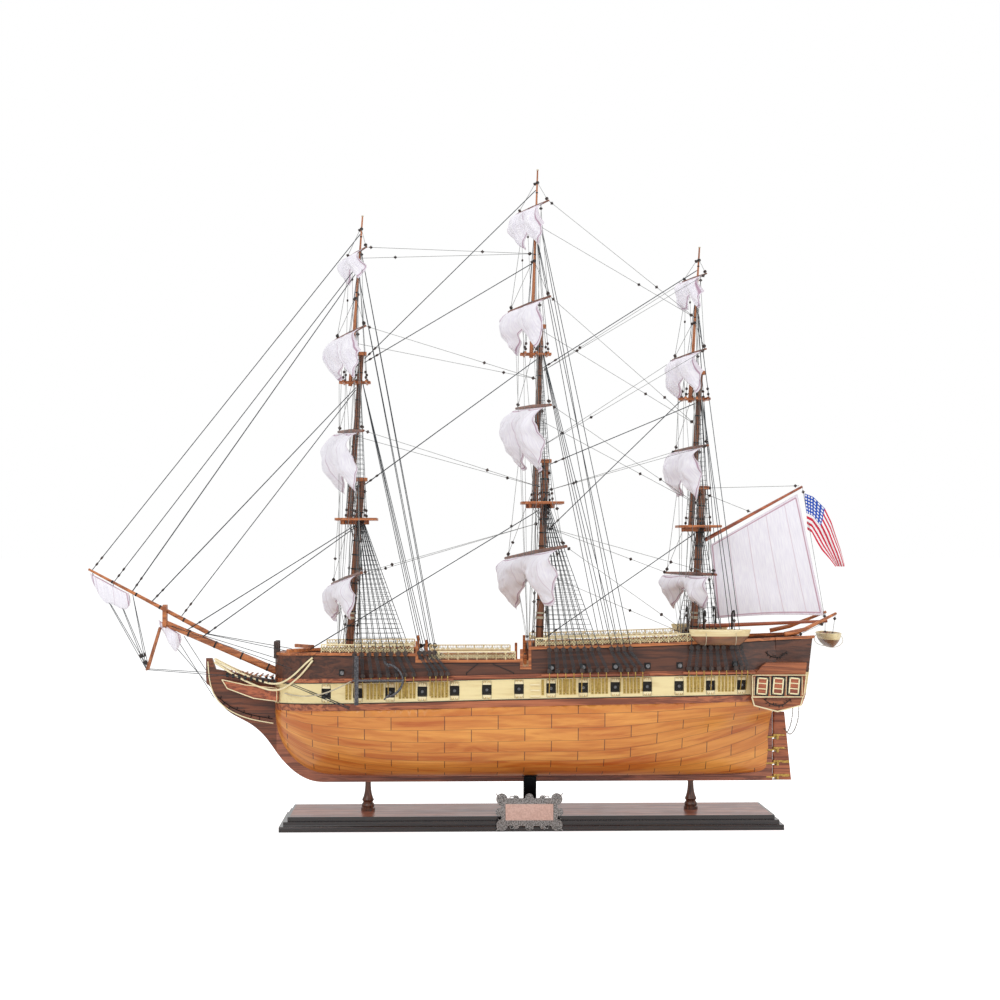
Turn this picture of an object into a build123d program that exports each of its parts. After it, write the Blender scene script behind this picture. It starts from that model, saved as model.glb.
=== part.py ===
"""Display model of a three-masted frigate on its stand, as separate pieces in millimetres.

Frame: origin at the centre of the baseboard's underside, +Z up, bow towards -X, port side towards -Y.
"""

import os
from math import cos, pi, radians, sin, sqrt, tan

from build123d import *

os.makedirs("parts", exist_ok=True)

# ---------------------------------------------------------------- driving sizes
fit = 0.3                      # clearance round things that pass through or lie along a curved piece
running_fit = 0.05             # radial clearance of a pin in its bore

# Stand
base_length = 627
base_depth = 137
base_step = 5                  # each tier of the moulding stands this far inside the one below
tier_heights = (6.5, 5.5, 5.5)
panel_thickness = 3
panel_margin = 2.5
pedestal_spacing = 412
pedestal_foot_radius = 8.9
pedestal_neck_radius = 3.6
screw_radius = 1.2
screw_head_radius = 2.6
screw_grip = 6                 # length of thread in the keel
strap_width = 16
strap_thickness = 2
strap_reach = 31               # half width of the cradle wings
plate_width = 60
plate_height = 21
frame_width = 84
frame_height = 46
frame_thickness = 2.6
plate_thickness = 1.2

# Hull
keel_bottom = 53.8
keel_height = 8.7
keel_thickness = 8
half_beam = 82
bow = -324                     # foremost point of the planking
stern_post = 306               # aft end of the bottom planking
transom_foot = 342             # where the transom meets the counter
transom_rake = 0.13            # aft lean of the transom per unit of height
max_beam_height = 155
sheer_top = 262                # height that the hull form is drawn up to
forefoot_length = 75
hull_wall = 2.5
backing_thickness = 4.5        # black strip behind the gun ports
wale_height = 8
wale_proud = 0.8
strake_height = 27
strip_height = 5
strip_proud = 1.8
channel_width = 10
port_size = 10.5
port_count = 14
port_pitch = 39.72
first_port = -255.6
deck_thickness = 3
deck_drop = 10                 # deck surface below the waist rail
rail_thickness = 3.5
waist_rail = 213
fore_rail = 221
aft_rail = 229
aft_rail_end = 241             # the aft rail rises to this height at the taffrail
waist_start = -145
gangway_start = -16
gangway_end = -2
netting_height = 10

# Rudder
rudder_axis = 314.5
rudder_thickness = 6
rudder_top = 141
rudder_length_top = 12
rudder_length_foot = 20.5
stern_post_gap = 0.9           # between the stern post and the round front of the rudder
pin_radius = 0.9
hinge_heights = (58, 75.5, 92.5, 109)
strap_plate = 0.5
stock_radius = 2.5

# Spars
bowsprit_radius = 5
jibboom_radius = 3
lower_mast_radius = 5.2
topmast_radius = 4
topgallant_radius = 2.6
doubling = 11.5                # how far each upper mast stands before the one below
top_thickness = 3
cap_thickness = 4.5

base_height = sum(tier_heights)
keel_top = keel_bottom + keel_height
standing = (Align.CENTER, Align.CENTER, Align.MIN)


# ---------------------------------------------------------------- hull form
def ease(value):
    """Smooth step from 0 to 1."""
    value = min(max(value, 0), 1)
    return value * value * (3 - 2 * value)


def strake_bottom(x):
    """Height of the lower edge of the gun strake."""
    return 167 - 12.5 * ((280 - x) / 610) ** 1.7 if x < 280 else 167 + 0.02 * (x - 280)


def strake_top(x):
    """Height of the upper edge of the gun strake."""
    return strake_bottom(x) + strake_height


def rail_height(x):
    """Top of the cap rail on the stretch that x lies on."""
    if x < waist_start:
        return fore_rail
    if x < gangway_end:
        return waist_rail
    return aft_rail + (aft_rail_end - aft_rail) * ((x - gangway_end) / 357) ** 1.3


def half_breadth(x, z):
    """Half breadth of the hull at station x and height z."""
    rise = min(max((z - keel_top) / (max_beam_height - keel_top), 0), 1)
    if z < max_beam_height:
        section = max(1 - (1 - rise) ** 2.7, 0) ** (1 / 2.7)
    else:
        section = 1 - 0.06 * ((z - max_beam_height) / (sheer_top - max_beam_height)) ** 1.5
    entrance = -105
    run = 70
    breadth = half_beam * section
    if x < entrance:
        start = stem_at(z)
        share = min((entrance - x) / (entrance - start), 1)
        fullness = 0.92 - 0.42 * ease(rise)
        breadth *= (1 - share ** (2.2 + 0.3 * rise)) ** fullness
    if x > run:
        share = min((x - run) / (stern_post - run), 1)
        end = 0.05 + 0.67 * ease((z - 116) / 58)
        power = 1.7 + 1.3 * ease((z - 100) / 70)
        breadth *= 1 - (1 - end) * share ** power
        breadth *= 1 - 0.10 * max(x - stern_post, 0) / 50
    return breadth


def stem_at(z):
    """Foremost point of the planking at height z: upright above, rounded into the keel below."""
    drop = min(max((150 - z) / (150 - keel_top), 0), 1)
    return bow + forefoot_length * (1 - (1 - drop ** 2.3) ** (1 / 2.3))


def floor_at(x, breadth):
    """Lowest height at which the hull is wider than breadth."""
    low, high = keel_top, max_beam_height
    for _ in range(30):
        middle = (low + high) / 2
        if half_breadth(x, middle) > breadth:
            high = middle
        else:
            low = middle
    return high


def section_face(x, floor, growth, flat_floor=False):
    """One station of the hull form, grown sideways and down by growth."""
    steps = 8
    points = [(0, floor - growth)]
    if flat_floor:
        points = [(half_breadth(x, floor) + growth, floor - growth)]
    for step in range(1, steps + 1):
        height = floor + (sheer_top - floor) * (step / steps) ** 1.8
        points.append((max(half_breadth(x, height) + growth, 0.4), height))
    if flat_floor:
        del points[1]
    with BuildSketch(Plane.YZ.offset(x)) as face:
        with BuildLine():
            right = Spline(*points)
            left = Spline(*[(-y, z) for y, z in points])
            Line(right @ 1, left @ 1)
            if flat_floor:
                Line(right @ 0, left @ 0)
        make_face()
    return face.sketch


hull_stations = (
    -323.7, -322, -318, -310, -297, -278, -250, -210, -160, -105, -40, 20, 70, 120, 170, 215, 255, 285,
)
counter_stations = (306, 322, 338, 356)


def hull_form(growth):
    """The whole hull as a solid: the body up to the stern post joined to the counter."""
    sections = [section_face(x, floor_at(x, 0.01), growth) for x in hull_stations]
    sections.append(section_face(stern_post, keel_top, growth))
    counter = [section_face(x, 144 + 0.22 * (x - stern_post), growth, True) for x in counter_stations]
    with BuildPart() as form:
        loft(sections)
        loft(counter)
    return form.part


def hold_form(wall):
    """The space inside the planking, wall in from the outside, with solid deadwood at the ends."""
    stations = [x for x in hull_stations if -315 < x] + [302]
    sections = [section_face(x, floor_at(x, wall + 3), -wall) for x in stations]
    counter = [section_face(x, 144 + 0.22 * (x - stern_post), -wall, True) for x in (300, 322, 338, 358)]
    with BuildPart() as form:
        loft(sections)
        if wall == hull_wall:
            loft(counter)
    return form.part


def side_region(lower, upper, start=-345, end=375):
    """Everything between two height functions, right across the ship."""
    count = 12
    marks = [start + (end - start) * i / count for i in range(count + 1)]
    with BuildPart() as region:
        with BuildSketch(Plane.XZ):
            with BuildLine():
                low = Spline(*[(x, lower(x)) for x in marks])
                high = Spline(*[(x, upper(x)) for x in marks])
                Line(low @ 0, high @ 0)
                Line(low @ 1, high @ 1)
            make_face()
        extrude(amount=150, both=True)
    return region.part


def upright_region(outline):
    """An outline in the centre plane (x, z), carried right across the ship."""
    with BuildPart() as region:
        with BuildSketch(Plane.XZ):
            with BuildLine():
                Polyline(*outline, close=True)
            make_face()
        extrude(amount=150, both=True)
    return region.part


def transom_x(z):
    """Aft face of the hull planking at height z."""
    return transom_foot + transom_rake * (z - 150)


hull = hull_form(0)
hull_at_wale = hull_form(wale_proud)
hull_at_strip = hull_form(strip_proud)
hold = hold_form(hull_wall)
hold_at_backing = hold_form(hull_wall + backing_thickness)

ahead_of_transom = upright_region(
    [(-350, 20), (transom_x(20), 20), (transom_x(300), 300), (-350, 300)]
)
hull = hull & ahead_of_transom
hull_at_wale = hull_at_wale & ahead_of_transom
hull_at_strip = hull_at_strip & ahead_of_transom


# ---------------------------------------------------------------- helpers
def save(label, shape):
    """Label a finished piece and write it as its own STEP file."""
    shape.label = label
    export_step(shape, f"parts/{label}.step")


def save_group(label, solids):
    """Write several separate solids as one node."""
    save(label, Compound(label=label, children=list(solids)))


def rod(start, end, radius, end_radius=None):
    """A round bar between two points, tapered where end_radius is given."""
    start, end = Vector(*start), Vector(*end)
    way = end - start
    with BuildPart(Plane(origin=start, z_dir=way)) as bar:
        if end_radius is None:
            Cylinder(radius, way.length, align=standing)
        else:
            Cone(radius, end_radius, way.length, align=standing)
    return bar.part


def both_sides(maker):
    """A piece made by maker(side) on the port side and on the starboard side."""
    return [maker(-1), maker(1)]


# ---------------------------------------------------------------- stand
pedestal_places = [(-pedestal_spacing / 2, 0), (pedestal_spacing / 2, 0)]

with BuildPart() as base_moulding:
    for tier, height in enumerate(tier_heights):
        inset = 2 * base_step * tier
        with BuildSketch(Plane.XY.offset(sum(tier_heights[:tier]))):
            Rectangle(base_length - inset, base_depth - inset)
        extrude(amount=height)
    upper_edges = base_moulding.edges().group_by(Axis.Z)
    fillet(upper_edges[2].filter_by(GeomType.LINE).sort_by(SortBy.LENGTH)[-4:], 2)
    panel_length = base_length - 4 * base_step - 2 * panel_margin
    panel_depth = base_depth - 4 * base_step - 2 * panel_margin
    with BuildSketch(Plane.XY.offset(base_height)):
        Rectangle(panel_length, panel_depth)
    extrude(amount=-panel_thickness, mode=Mode.SUBTRACT)
    with Locations(*[(x, y, 0) for x, y in pedestal_places]):
        Cylinder(screw_radius + fit, base_height, align=standing, mode=Mode.SUBTRACT)
        Cylinder(screw_head_radius + fit, 2.5, align=standing, mode=Mode.SUBTRACT)
save("base_moulding", base_moulding.part)

with BuildPart() as base_panel:
    with BuildSketch(Plane.XY.offset(base_height - panel_thickness)):
        Rectangle(panel_length, panel_depth)
        with Locations(*pedestal_places):
            Circle(screw_radius + fit, mode=Mode.SUBTRACT)
    extrude(amount=panel_thickness)
save("base_panel", base_panel.part)

stem_height = keel_bottom - base_height


def pedestal(place):
    """A turned post from the panel to the keel, bored for its screw."""
    foot, neck = pedestal_foot_radius, pedestal_neck_radius
    with BuildPart() as post:
        with BuildSketch(Plane.XZ) as outline:
            with BuildLine():
                Polyline(
                    (0, 0), (foot, 0), (foot, 0.09 * stem_height), (foot - 1.2, 0.12 * stem_height),
                    (foot - 0.6, 0.18 * stem_height), (foot - 1.6, 0.25 * stem_height),
                    (foot - 3, 0.3 * stem_height), (foot - 1.3, 0.37 * stem_height),
                )
                Spline(
                    (foot - 1.3, 0.37 * stem_height), (foot - 3.4, 0.52 * stem_height),
                    (neck + 0.4, 0.75 * stem_height), (neck, stem_height),
                )
                Polyline((neck, stem_height), (0, stem_height), (0, 0))
            make_face()
        revolve(axis=Axis.Z)
        Cylinder(screw_radius + fit, 2 * stem_height, mode=Mode.SUBTRACT)
    return post.part.moved(Location((*place, base_height)))


save_group("pedestals", [pedestal(place) for place in pedestal_places])


def stand_screw(place):
    """A wood screw from under the base, through the pedestal, into the keel."""
    with BuildPart(Plane(origin=(*place, 0.4))) as screw:
        Cylinder(screw_head_radius, 2, align=standing)
        Cylinder(screw_radius, keel_bottom + screw_grip - 0.4, align=standing)
        with Locations((0, 0, 0)):
            Box(3.4, 0.7, 1.2, mode=Mode.SUBTRACT)
    return screw.part


save_group("stand_screws", [stand_screw(place) for place in pedestal_places])

wing_blank = upright_region([
    (-strap_width / 2, keel_top + 0.4), (strap_width / 2, keel_top + 0.4),
    (strap_width / 2, 86), (-strap_width / 2, 86),
])


def bilge_band(growth):
    """A short stretch of the hull form amidships, grown outwards."""
    with BuildPart() as band:
        ends = (-strap_width / 2 - 2, strap_width / 2 + 2)
        loft([section_face(x, floor_at(0, 0.01), growth) for x in ends])
    return band.part


with BuildPart() as cradle_strap:
    add(bilge_band(fit + strap_thickness))
    add(bilge_band(fit), mode=Mode.SUBTRACT)
    with BuildSketch(Plane.XZ.offset(-strap_reach)):
        with Locations((0, keel_bottom + 15)):
            Rectangle(strap_width, 30)
    extrude(amount=2 * strap_reach, mode=Mode.INTERSECT)
    inside = keel_thickness / 2 + fit
    with BuildSketch(Plane.YZ.offset(-strap_width / 2)):
        Rectangle(2 * inside, 200)
    extrude(amount=strap_width, mode=Mode.SUBTRACT)
    with BuildSketch(Plane.YZ.offset(-strap_width / 2)):
        for side in (-1, 1):
            with Locations((side * (inside + strap_thickness / 2), (base_height + keel_top + 2) / 2)):
                Rectangle(strap_thickness, keel_top + 2 - base_height)
        with Locations((0, base_height + strap_thickness / 2)):
            Rectangle(2 * inside + 2 * strap_thickness, strap_thickness)
    extrude(amount=strap_width)
    add(bilge_band(fit), mode=Mode.SUBTRACT)
save("cradle_strap", cradle_strap.part)

plate_face = -base_depth / 2 - 0.2
frame_middle = 1 + frame_height / 2

with BuildPart() as nameplate_frame:
    with BuildSketch(Plane.XZ.offset(-plate_face)):
        with Locations((-4, frame_middle)):
            Rectangle(frame_width - 14, frame_height - 12)
            with GridLocations(frame_width - 16, frame_height - 14, 2, 2):
                Circle(7)
            with GridLocations(frame_width - 10, 0, 2, 1):
                Circle(5)
            with GridLocations(0, frame_height - 10, 1, 2):
                Circle(5)
            with GridLocations(frame_width / 2.6, frame_height - 12, 2, 2):
                Circle(3.5)
    extrude(amount=frame_thickness)
    with BuildSketch(Plane.XZ.offset(-plate_face + frame_thickness)):
        with Locations((-4, frame_middle)):
            Rectangle(plate_width, plate_height)
    extrude(amount=-plate_thickness, mode=Mode.SUBTRACT)
    with BuildSketch(Plane.XZ.offset(-plate_face)):
        with Locations((-4 - 22, 9.3), (-4 + 22, 9.3)):
            Circle(1.6)
    extrude(amount=-base_step - 0.2)
save("nameplate_frame", nameplate_frame.part)

with BuildPart() as nameplate:
    with BuildSketch(Plane.XZ.offset(-plate_face + frame_thickness - plate_thickness)):
        with Locations((-4, frame_middle)):
            Rectangle(plate_width, plate_height)
    extrude(amount=plate_thickness)
save("nameplate", nameplate.part)


# ---------------------------------------------------------------- hull pieces
fore_step, gangway_post = 12, 3.4


def bulwark_top(x):
    """Height of the planking under the cap rail."""
    return rail_height(x) - rail_thickness


rail_steps = [
    (-345, bulwark_top(-345) - 3), (-270, bulwark_top(-270)), (waist_start, bulwark_top(-270)),
    (waist_start, waist_rail - rail_thickness), (gangway_start, waist_rail - rail_thickness),
    (gangway_start, waist_rail - fore_step), (gangway_end, waist_rail - fore_step),
    *[(x, bulwark_top(x)) for x in [gangway_end + 40 * i for i in range(9)] + [375]],
]
under_rail = upright_region([(375, 40), (-345, 40)] + rail_steps)
above_strake = side_region(strake_top, lambda x: 300)
below_strake = side_region(lambda x: 20, strake_bottom)
below_wale = side_region(lambda x: 20, lambda x: strake_bottom(x) - wale_height)
strip_band = side_region(strake_top, lambda x: strake_top(x) + strip_height)
backing_band = side_region(lambda x: strake_bottom(x) + 3, lambda x: strake_top(x) - 3, -296, 286)

bowsprit_heel = (-300, 0, 184.8)
bowsprit_cap = (-467, 0, 256.9)
bowsprit_bore = rod(bowsprit_heel, bowsprit_cap, bowsprit_radius + fit)
port_places = [first_port + port_pitch * i for i in range(port_count)]


def port_height(x):
    """Centre height of a gun port."""
    return strake_bottom(x) + strake_height / 2


with BuildPart() as port_cutters:
    for x in port_places:
        with Locations((x, 0, port_height(x))):
            Box(port_size, 220, port_size)

with BuildPart() as rudder_stock_bore:
    with Locations((rudder_axis, 0, 150)):
        Cylinder(stock_radius + fit, 60)

shell = hull - hold
wale_shell = hull_at_wale - hold

with BuildPart() as hull_planking:
    add(shell & below_wale)
    add(rudder_stock_bore.part, mode=Mode.SUBTRACT)
save("hull_planking", hull_planking.part)

with BuildPart() as wale:
    add((wale_shell & below_strake) - below_wale)
    add(rudder_stock_bore.part, mode=Mode.SUBTRACT)
save("wale", wale.part)

with BuildPart() as gun_strake:
    add((shell - below_strake) - above_strake)
    add(port_cutters.part, mode=Mode.SUBTRACT)
    add(bowsprit_bore, mode=Mode.SUBTRACT)
save("gun_strake", gun_strake.part)

with BuildPart() as bulwark:
    add((shell & above_strake) & under_rail)
    add(bowsprit_bore, mode=Mode.SUBTRACT)
save("bulwark", bulwark.part)

with BuildPart() as port_backing:
    add((hold & backing_band) - hold_at_backing)
    with BuildSketch(Plane.XY.offset(100)):
        Rectangle(2, 300)
        with Locations((-320, 0)):
            Rectangle(80, 300)
    extrude(amount=150, mode=Mode.SUBTRACT)
save("port_backing", port_backing.part)

stern_face = rudder_axis - rudder_thickness / 2 - stern_post_gap
knee_top = 211
with BuildPart() as keel:
    with BuildSketch(Plane.XZ):
        with BuildLine():
            Line((stern_face, 150), (stern_face, keel_bottom))
            Line((stern_face, keel_bottom), (-262, keel_bottom))
            Spline(
                (-262, keel_bottom), (-293, 63), (-318, 86.5), (-336, 111), (-357, 129), (-379, 141),
                (-395, 157), (-407, 176), (-411.5, knee_top),
                tangents=((-1, 0), (0, 1)),
            )
            Polyline((-411.5, knee_top), (-404, knee_top), (-399, 197), (-330, 184), (-300, 184))
            Polyline((-300, 184), (-300, 150), (stern_face, 150))
        make_face()
    extrude(amount=keel_thickness / 2, both=True)
    add(hull, mode=Mode.SUBTRACT)
    for piece in (wale, gun_strake, bulwark):
        add(piece.part, mode=Mode.SUBTRACT)
    with Locations(*[(x, y, keel_bottom) for x, y in pedestal_places]):
        Cylinder(
            screw_radius + running_fit, screw_grip, align=standing, mode=Mode.SUBTRACT
        )
save("keel", keel.part)

# Masts: place of each on the deck, rake, and the heights of what it carries
deck_height = waist_rail - deck_drop


class Mast:
    """One mast in three lengths: where it stands, its rake, and the heights of its tops and caps."""

    def __init__(self, name, foot, rake, top, cap, crosstrees, topmast_cap, truck):
        self.name, self.foot, self.rake = name, foot, rake
        self.top, self.cap = top, cap
        self.crosstrees, self.topmast_cap, self.truck = crosstrees, topmast_cap, truck

    def axis(self, height, length=0):
        """Point on the axis of the lower mast (0), topmast (1) or topgallant mast (2) at a height."""
        return (self.foot + self.rake * (height - 240) - doubling * length, 0, height)

    def spar(self, length):
        """Lower and upper end of one length."""
        heels = (keel_top + 14, self.top - 4, self.crosstrees - 3)
        heads = (self.cap + cap_thickness, self.topmast_cap + cap_thickness, self.truck)
        return self.axis(heels[length], length), self.axis(heads[length], length)


fore = Mast("fore", -229, 0.07, 386, 436, 561, 597, 776)
main = Mast("main", 12.5, 0.035, 407, 460, 598, 633, 837)
mizzen = Mast("mizzen", 210, 0.065, 377, 426, 541, 574, 738)
masts = (fore, main, mizzen)
lower_bores = [rod(*mast.spar(0), lower_mast_radius + fit) for mast in masts]

bulkhead_places = (-270, -190, -140, -70, 60, 120, 175, 240)
bulkhead_thickness = 3
frame_clearance = hull_wall + backing_thickness + fit
frame_top = deck_height - deck_thickness - fit
spine_marks = [-285 + 545 * i / 14 for i in range(15)]
with BuildPart() as hull_frame:
    for x in bulkhead_places:
        outline = section_face(x, floor_at(x, frame_clearance + 3), -frame_clearance)
        extrude(outline, amount=bulkhead_thickness / 2, both=True)
    with BuildSketch(Plane.XZ):
        with BuildLine():
            keelson = [(x, floor_at(x, hull_wall + 3.5) + hull_wall + 0.8) for x in spine_marks]
            Polyline(*keelson, (keelson[-1][0], sheer_top), (keelson[0][0], sheer_top), close=True)
        make_face()
    extrude(amount=keel_thickness / 2, both=True)
    with Locations((0, 0, frame_top)):
        Box(700, 300, 200, align=standing, mode=Mode.SUBTRACT)
    for x in bulkhead_places:
        with BuildSketch(Plane.YZ.offset(x - bulkhead_thickness)):
            with Locations((-38, 150), (38, 150)):
                RectangleRounded(34, 50, 12)
        extrude(amount=2 * bulkhead_thickness, mode=Mode.SUBTRACT)
    for bore in lower_bores + [bowsprit_bore]:
        add(bore, mode=Mode.SUBTRACT)
save("hull_frame", hull_frame.part)


def deck_surface(x):
    """Top of the spar deck at station x."""
    return deck_height + 14 * ease((x - 60) / 260) + 6 * ease((-190 - x) / 120)


hatch_places = ((-175, 26, 30), (-75, 34, 30), (75, 26, 26), (125, 20, 22))
with BuildPart() as spar_deck:
    add(hold & side_region(lambda x: deck_surface(x) - deck_thickness, deck_surface, -318, 348))
    for x, length, width in hatch_places:
        with Locations((x, 0, deck_height)):
            Box(length, width, 60, mode=Mode.SUBTRACT)
    for bore in lower_bores + [bowsprit_bore]:
        add(bore, mode=Mode.SUBTRACT)
    add(hull_frame.part, mode=Mode.SUBTRACT)
    add(rudder_stock_bore.part, mode=Mode.SUBTRACT)
save("spar_deck", spar_deck.part)

coaming_wall, coaming_rise = 2, 4


def hatch(x, length, width):
    """A coaming round a deck opening with its grating let in."""
    floor = deck_surface(x) - deck_thickness
    with BuildPart() as frame:
        with BuildSketch(Plane.XY.offset(floor)):
            with Locations((x, 0)):
                Rectangle(length - 2 * running_fit, width - 2 * running_fit)
                Rectangle(length - 2 * coaming_wall, width - 2 * coaming_wall, mode=Mode.SUBTRACT)
        extrude(amount=deck_thickness + coaming_rise)
        with BuildSketch(Plane.XY.offset(floor + deck_thickness + 1)):
            with Locations((x, 0)):
                Rectangle(length - 2 * coaming_wall, width - 2 * coaming_wall)
                pitch = 4
                across, along = int((width - 6) / pitch), int((length - 6) / pitch)
                with GridLocations(pitch, pitch, along, across):
                    Rectangle(2, 2, mode=Mode.SUBTRACT)
        extrude(amount=1.6)
    return frame.part


save_group("hatches", [hatch(*place) for place in hatch_places])

with BuildPart() as transom:
    add((hull & upright_region([
        (transom_x(140), 140), (transom_x(245), 245), (transom_x(245) - 4, 245), (transom_x(140) - 4, 140)
    ])) & under_rail)
    add(hold, mode=Mode.INTERSECT)
    add(spar_deck.part, mode=Mode.SUBTRACT)
save("transom", transom.part)

aft_marks = [gangway_end + 40 * i for i in range(9)] + [375]
sill = waist_rail - fore_step
rail_stretches = [
    [
        (-345, fore_rail - 3 - rail_thickness), (-270, fore_rail - rail_thickness),
        (waist_start, fore_rail - rail_thickness), (waist_start, fore_rail),
        (-270, fore_rail), (-345, fore_rail - 3),
    ],
    [
        (waist_start, waist_rail - rail_thickness), (gangway_start, waist_rail - rail_thickness),
        (gangway_start, waist_rail), (waist_start, waist_rail),
    ],
    [
        (gangway_start, sill), (gangway_end, sill),
        (gangway_end, sill + rail_thickness), (gangway_start, sill + rail_thickness),
    ],
    [(x, rail_height(x) - rail_thickness) for x in aft_marks]
    + [(x, rail_height(x)) for x in reversed(aft_marks)],
]
for start, foot, head in (
    (waist_start, waist_rail - rail_thickness, fore_rail + 15),
    (waist_start + 11, waist_rail - rail_thickness, waist_rail + 17),
    (gangway_start, sill, waist_rail + 13),
    (gangway_end - gangway_post, sill, aft_rail + 7),
):
    end = start + gangway_post
    rail_stretches.append([(start, foot), (end, foot), (end, head), (start, head)])
with BuildPart() as rail_region:
    with BuildSketch(Plane.XZ):
        for stretch in rail_stretches:
            with BuildLine():
                Polyline(*stretch, close=True)
            make_face()
    extrude(amount=150, both=True)
rail_ring = hull_form(1.2) & upright_region([(-350, 100), (356, 100), (356, 300), (-350, 300)])
with BuildPart() as cap_rail:
    add((rail_ring - hold) & rail_region.part)
    add(bulwark.part, mode=Mode.SUBTRACT)
    add(bowsprit_bore, mode=Mode.SUBTRACT)
save("cap_rail", cap_rail.part)

# Channels: the rosewood strip along the side, widened where the shrouds come down
channel_spans = ((-232, -98), (10, 144), (186, 276))
with BuildPart() as channels:
    add((hull_at_strip - hull) & strip_band)
    for start, end in channel_spans:
        middle = (start + end) / 2
        level = strake_top(middle) + strip_height / 2
        for side in (-1, 1):
            reach = half_breadth(middle, level) + channel_width
            with Locations((middle, side * (reach - channel_width / 2 - 4), level)):
                Box(end - start, channel_width + 8, 2.4)
    add(hull, mode=Mode.SUBTRACT)
    with Locations((350, 0, 190)):
        Box(90, 300, 60, mode=Mode.SUBTRACT)
save("channels", channels.part)


def channel_edge(x):
    """Outer edge of the channel beside station x (distance from the centre plane)."""
    for start, end in channel_spans:
        if start <= x <= end:
            middle = (start + end) / 2
            return half_breadth(middle, strake_top(middle) + strip_height / 2) + channel_width
    raise ValueError(x)


# Shroud places on each side: first, pitch, count of shrouds, then of backstays
shroud_places = {
    "fore": [-220 + 10.4 * i for i in range(8)] + [-127 + 7.2 * i for i in range(4)],
    "main": [20 + 10 * i for i in range(8)] + [108 + 9 * i for i in range(4)],
    "mizzen": [193 + 9.4 * i for i in range(6)] + [252 + 7 * i for i in range(3)],
}
shroud_counts = {"fore": 8, "main": 8, "mizzen": 6}
deadeye_radius, deadeye_thickness, deadeye_rise = 3.2, 2.4, 26


def lower_deadeye(x, side):
    """Centre of a deadeye standing on the channel."""
    level = strake_top(x) + strip_height / 2 + 1.2 + deadeye_radius + 1
    return (x, side * (channel_edge(x) - 2.2), level)


def upper_deadeye(x, side, lean):
    """Centre of the deadeye above, hauled a little towards the mast by lean."""
    low = lower_deadeye(x, side)
    return (low[0] + lean, low[1] - side * 2.2, low[2] + deadeye_rise)


def shroud_lean(mast, x):
    """How far the upper deadeye moves towards the mast over its lanyard."""
    return (mast.axis(mast.top)[0] - x) * deadeye_rise / (mast.top - deck_height)


def deadeye(centre):
    """A round block with its chainplate strop."""
    with BuildPart(Plane(origin=centre, z_dir=(0, 1, 0))) as block:
        Cylinder(deadeye_radius, deadeye_thickness)
        fillet(block.edges(), 0.7)
    return block.part


def chainplate(x, side):
    """The strap from the deadeye past the channel's edge to the gun strake."""
    low = lower_deadeye(x, side)
    outside = side * (channel_edge(x) + 0.5)
    foot = (x, side * (half_breadth(x, strake_bottom(x) + 8) + 0.9), strake_bottom(x) + 8)
    bend = (x, outside, strake_top(x) + 2)
    return rod(bend, foot, 0.6), rod(bend, (x, outside - side * 1.2, low[2] - 2.6), 0.6)


lower_blocks, upper_blocks, plates = [], [], []
for mast in masts:
    for x in shroud_places[mast.name]:
        for side in (-1, 1):
            lower_blocks.append(deadeye(lower_deadeye(x, side)))
            upper_blocks.append(deadeye(upper_deadeye(x, side, shroud_lean(mast, x))))
            plates.extend(chainplate(x, side))
save_group("deadeyes", lower_blocks + upper_blocks)
save_group("chainplates", plates)

# Hammock netting: stanchions along the rail and the ridge rope that they carry
netting_spans = ((-262, waist_start - 3), (waist_start + 17, gangway_start - 6), (gangway_end + 6, 204))
stanchion_radius = 0.75
netting_bars = []
for start, end in netting_spans:
    count = round((end - start) / 12)
    tops = []
    for i in range(count + 1):
        x = start + (end - start) * i / count
        level = rail_height(x)
        for side in (-1, 1):
            y = side * (half_breadth(x, level) - 0.7)
            netting_bars.append(rod((x, y, level), (x, y, level + netting_height), stanchion_radius))
            tops.append((x, y, level + netting_height))
    for low, high in zip(tops, tops[2:]):
        netting_bars.append(rod(low, high, stanchion_radius))
save_group("hammock_netting", netting_bars)

# Quarter galleries
gallery_start, gallery_end, gallery_out = 273, 337, 77


def gallery(side):
    """The windowed box on the quarter, with its roof and tapered lower finishing."""
    with BuildPart() as box:
        with BuildSketch(Plane.XZ):
            with BuildLine():
                Polyline(
                    (gallery_start, 166), (gallery_start, 193), (gallery_end + 3, 193), (gallery_end, 166),
                    close=True,
                )
            make_face()
        extrude(amount=-side * gallery_out)
        with BuildSketch(Plane.XZ):
            with BuildLine():
                Polyline(
                    (276, 193), (286, 204), (292, 208), (gallery_end + 5, 208), (gallery_end + 3, 193),
                    close=True,
                )
            make_face()
        extrude(amount=-side * (gallery_out - 4))
        with BuildSketch(Plane.XZ):
            with BuildLine():
                Polyline(
                    (gallery_start, 166), (276, 155), (305, 147.5), (334, 155), (gallery_end, 166),
                    close=True,
                )
            make_face()
        extrude(amount=-side * (gallery_out - 5))
        for i in range(3):
            with Locations((gallery_start + 12 + 20 * i, side * gallery_out, 179.5)):
                Box(13, 2.4, 20, mode=Mode.SUBTRACT)
        add(hull_at_strip, mode=Mode.SUBTRACT)
    return max(box.part.solids(), key=lambda solid: solid.volume)


save_group("quarter_galleries", both_sides(gallery))

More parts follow.
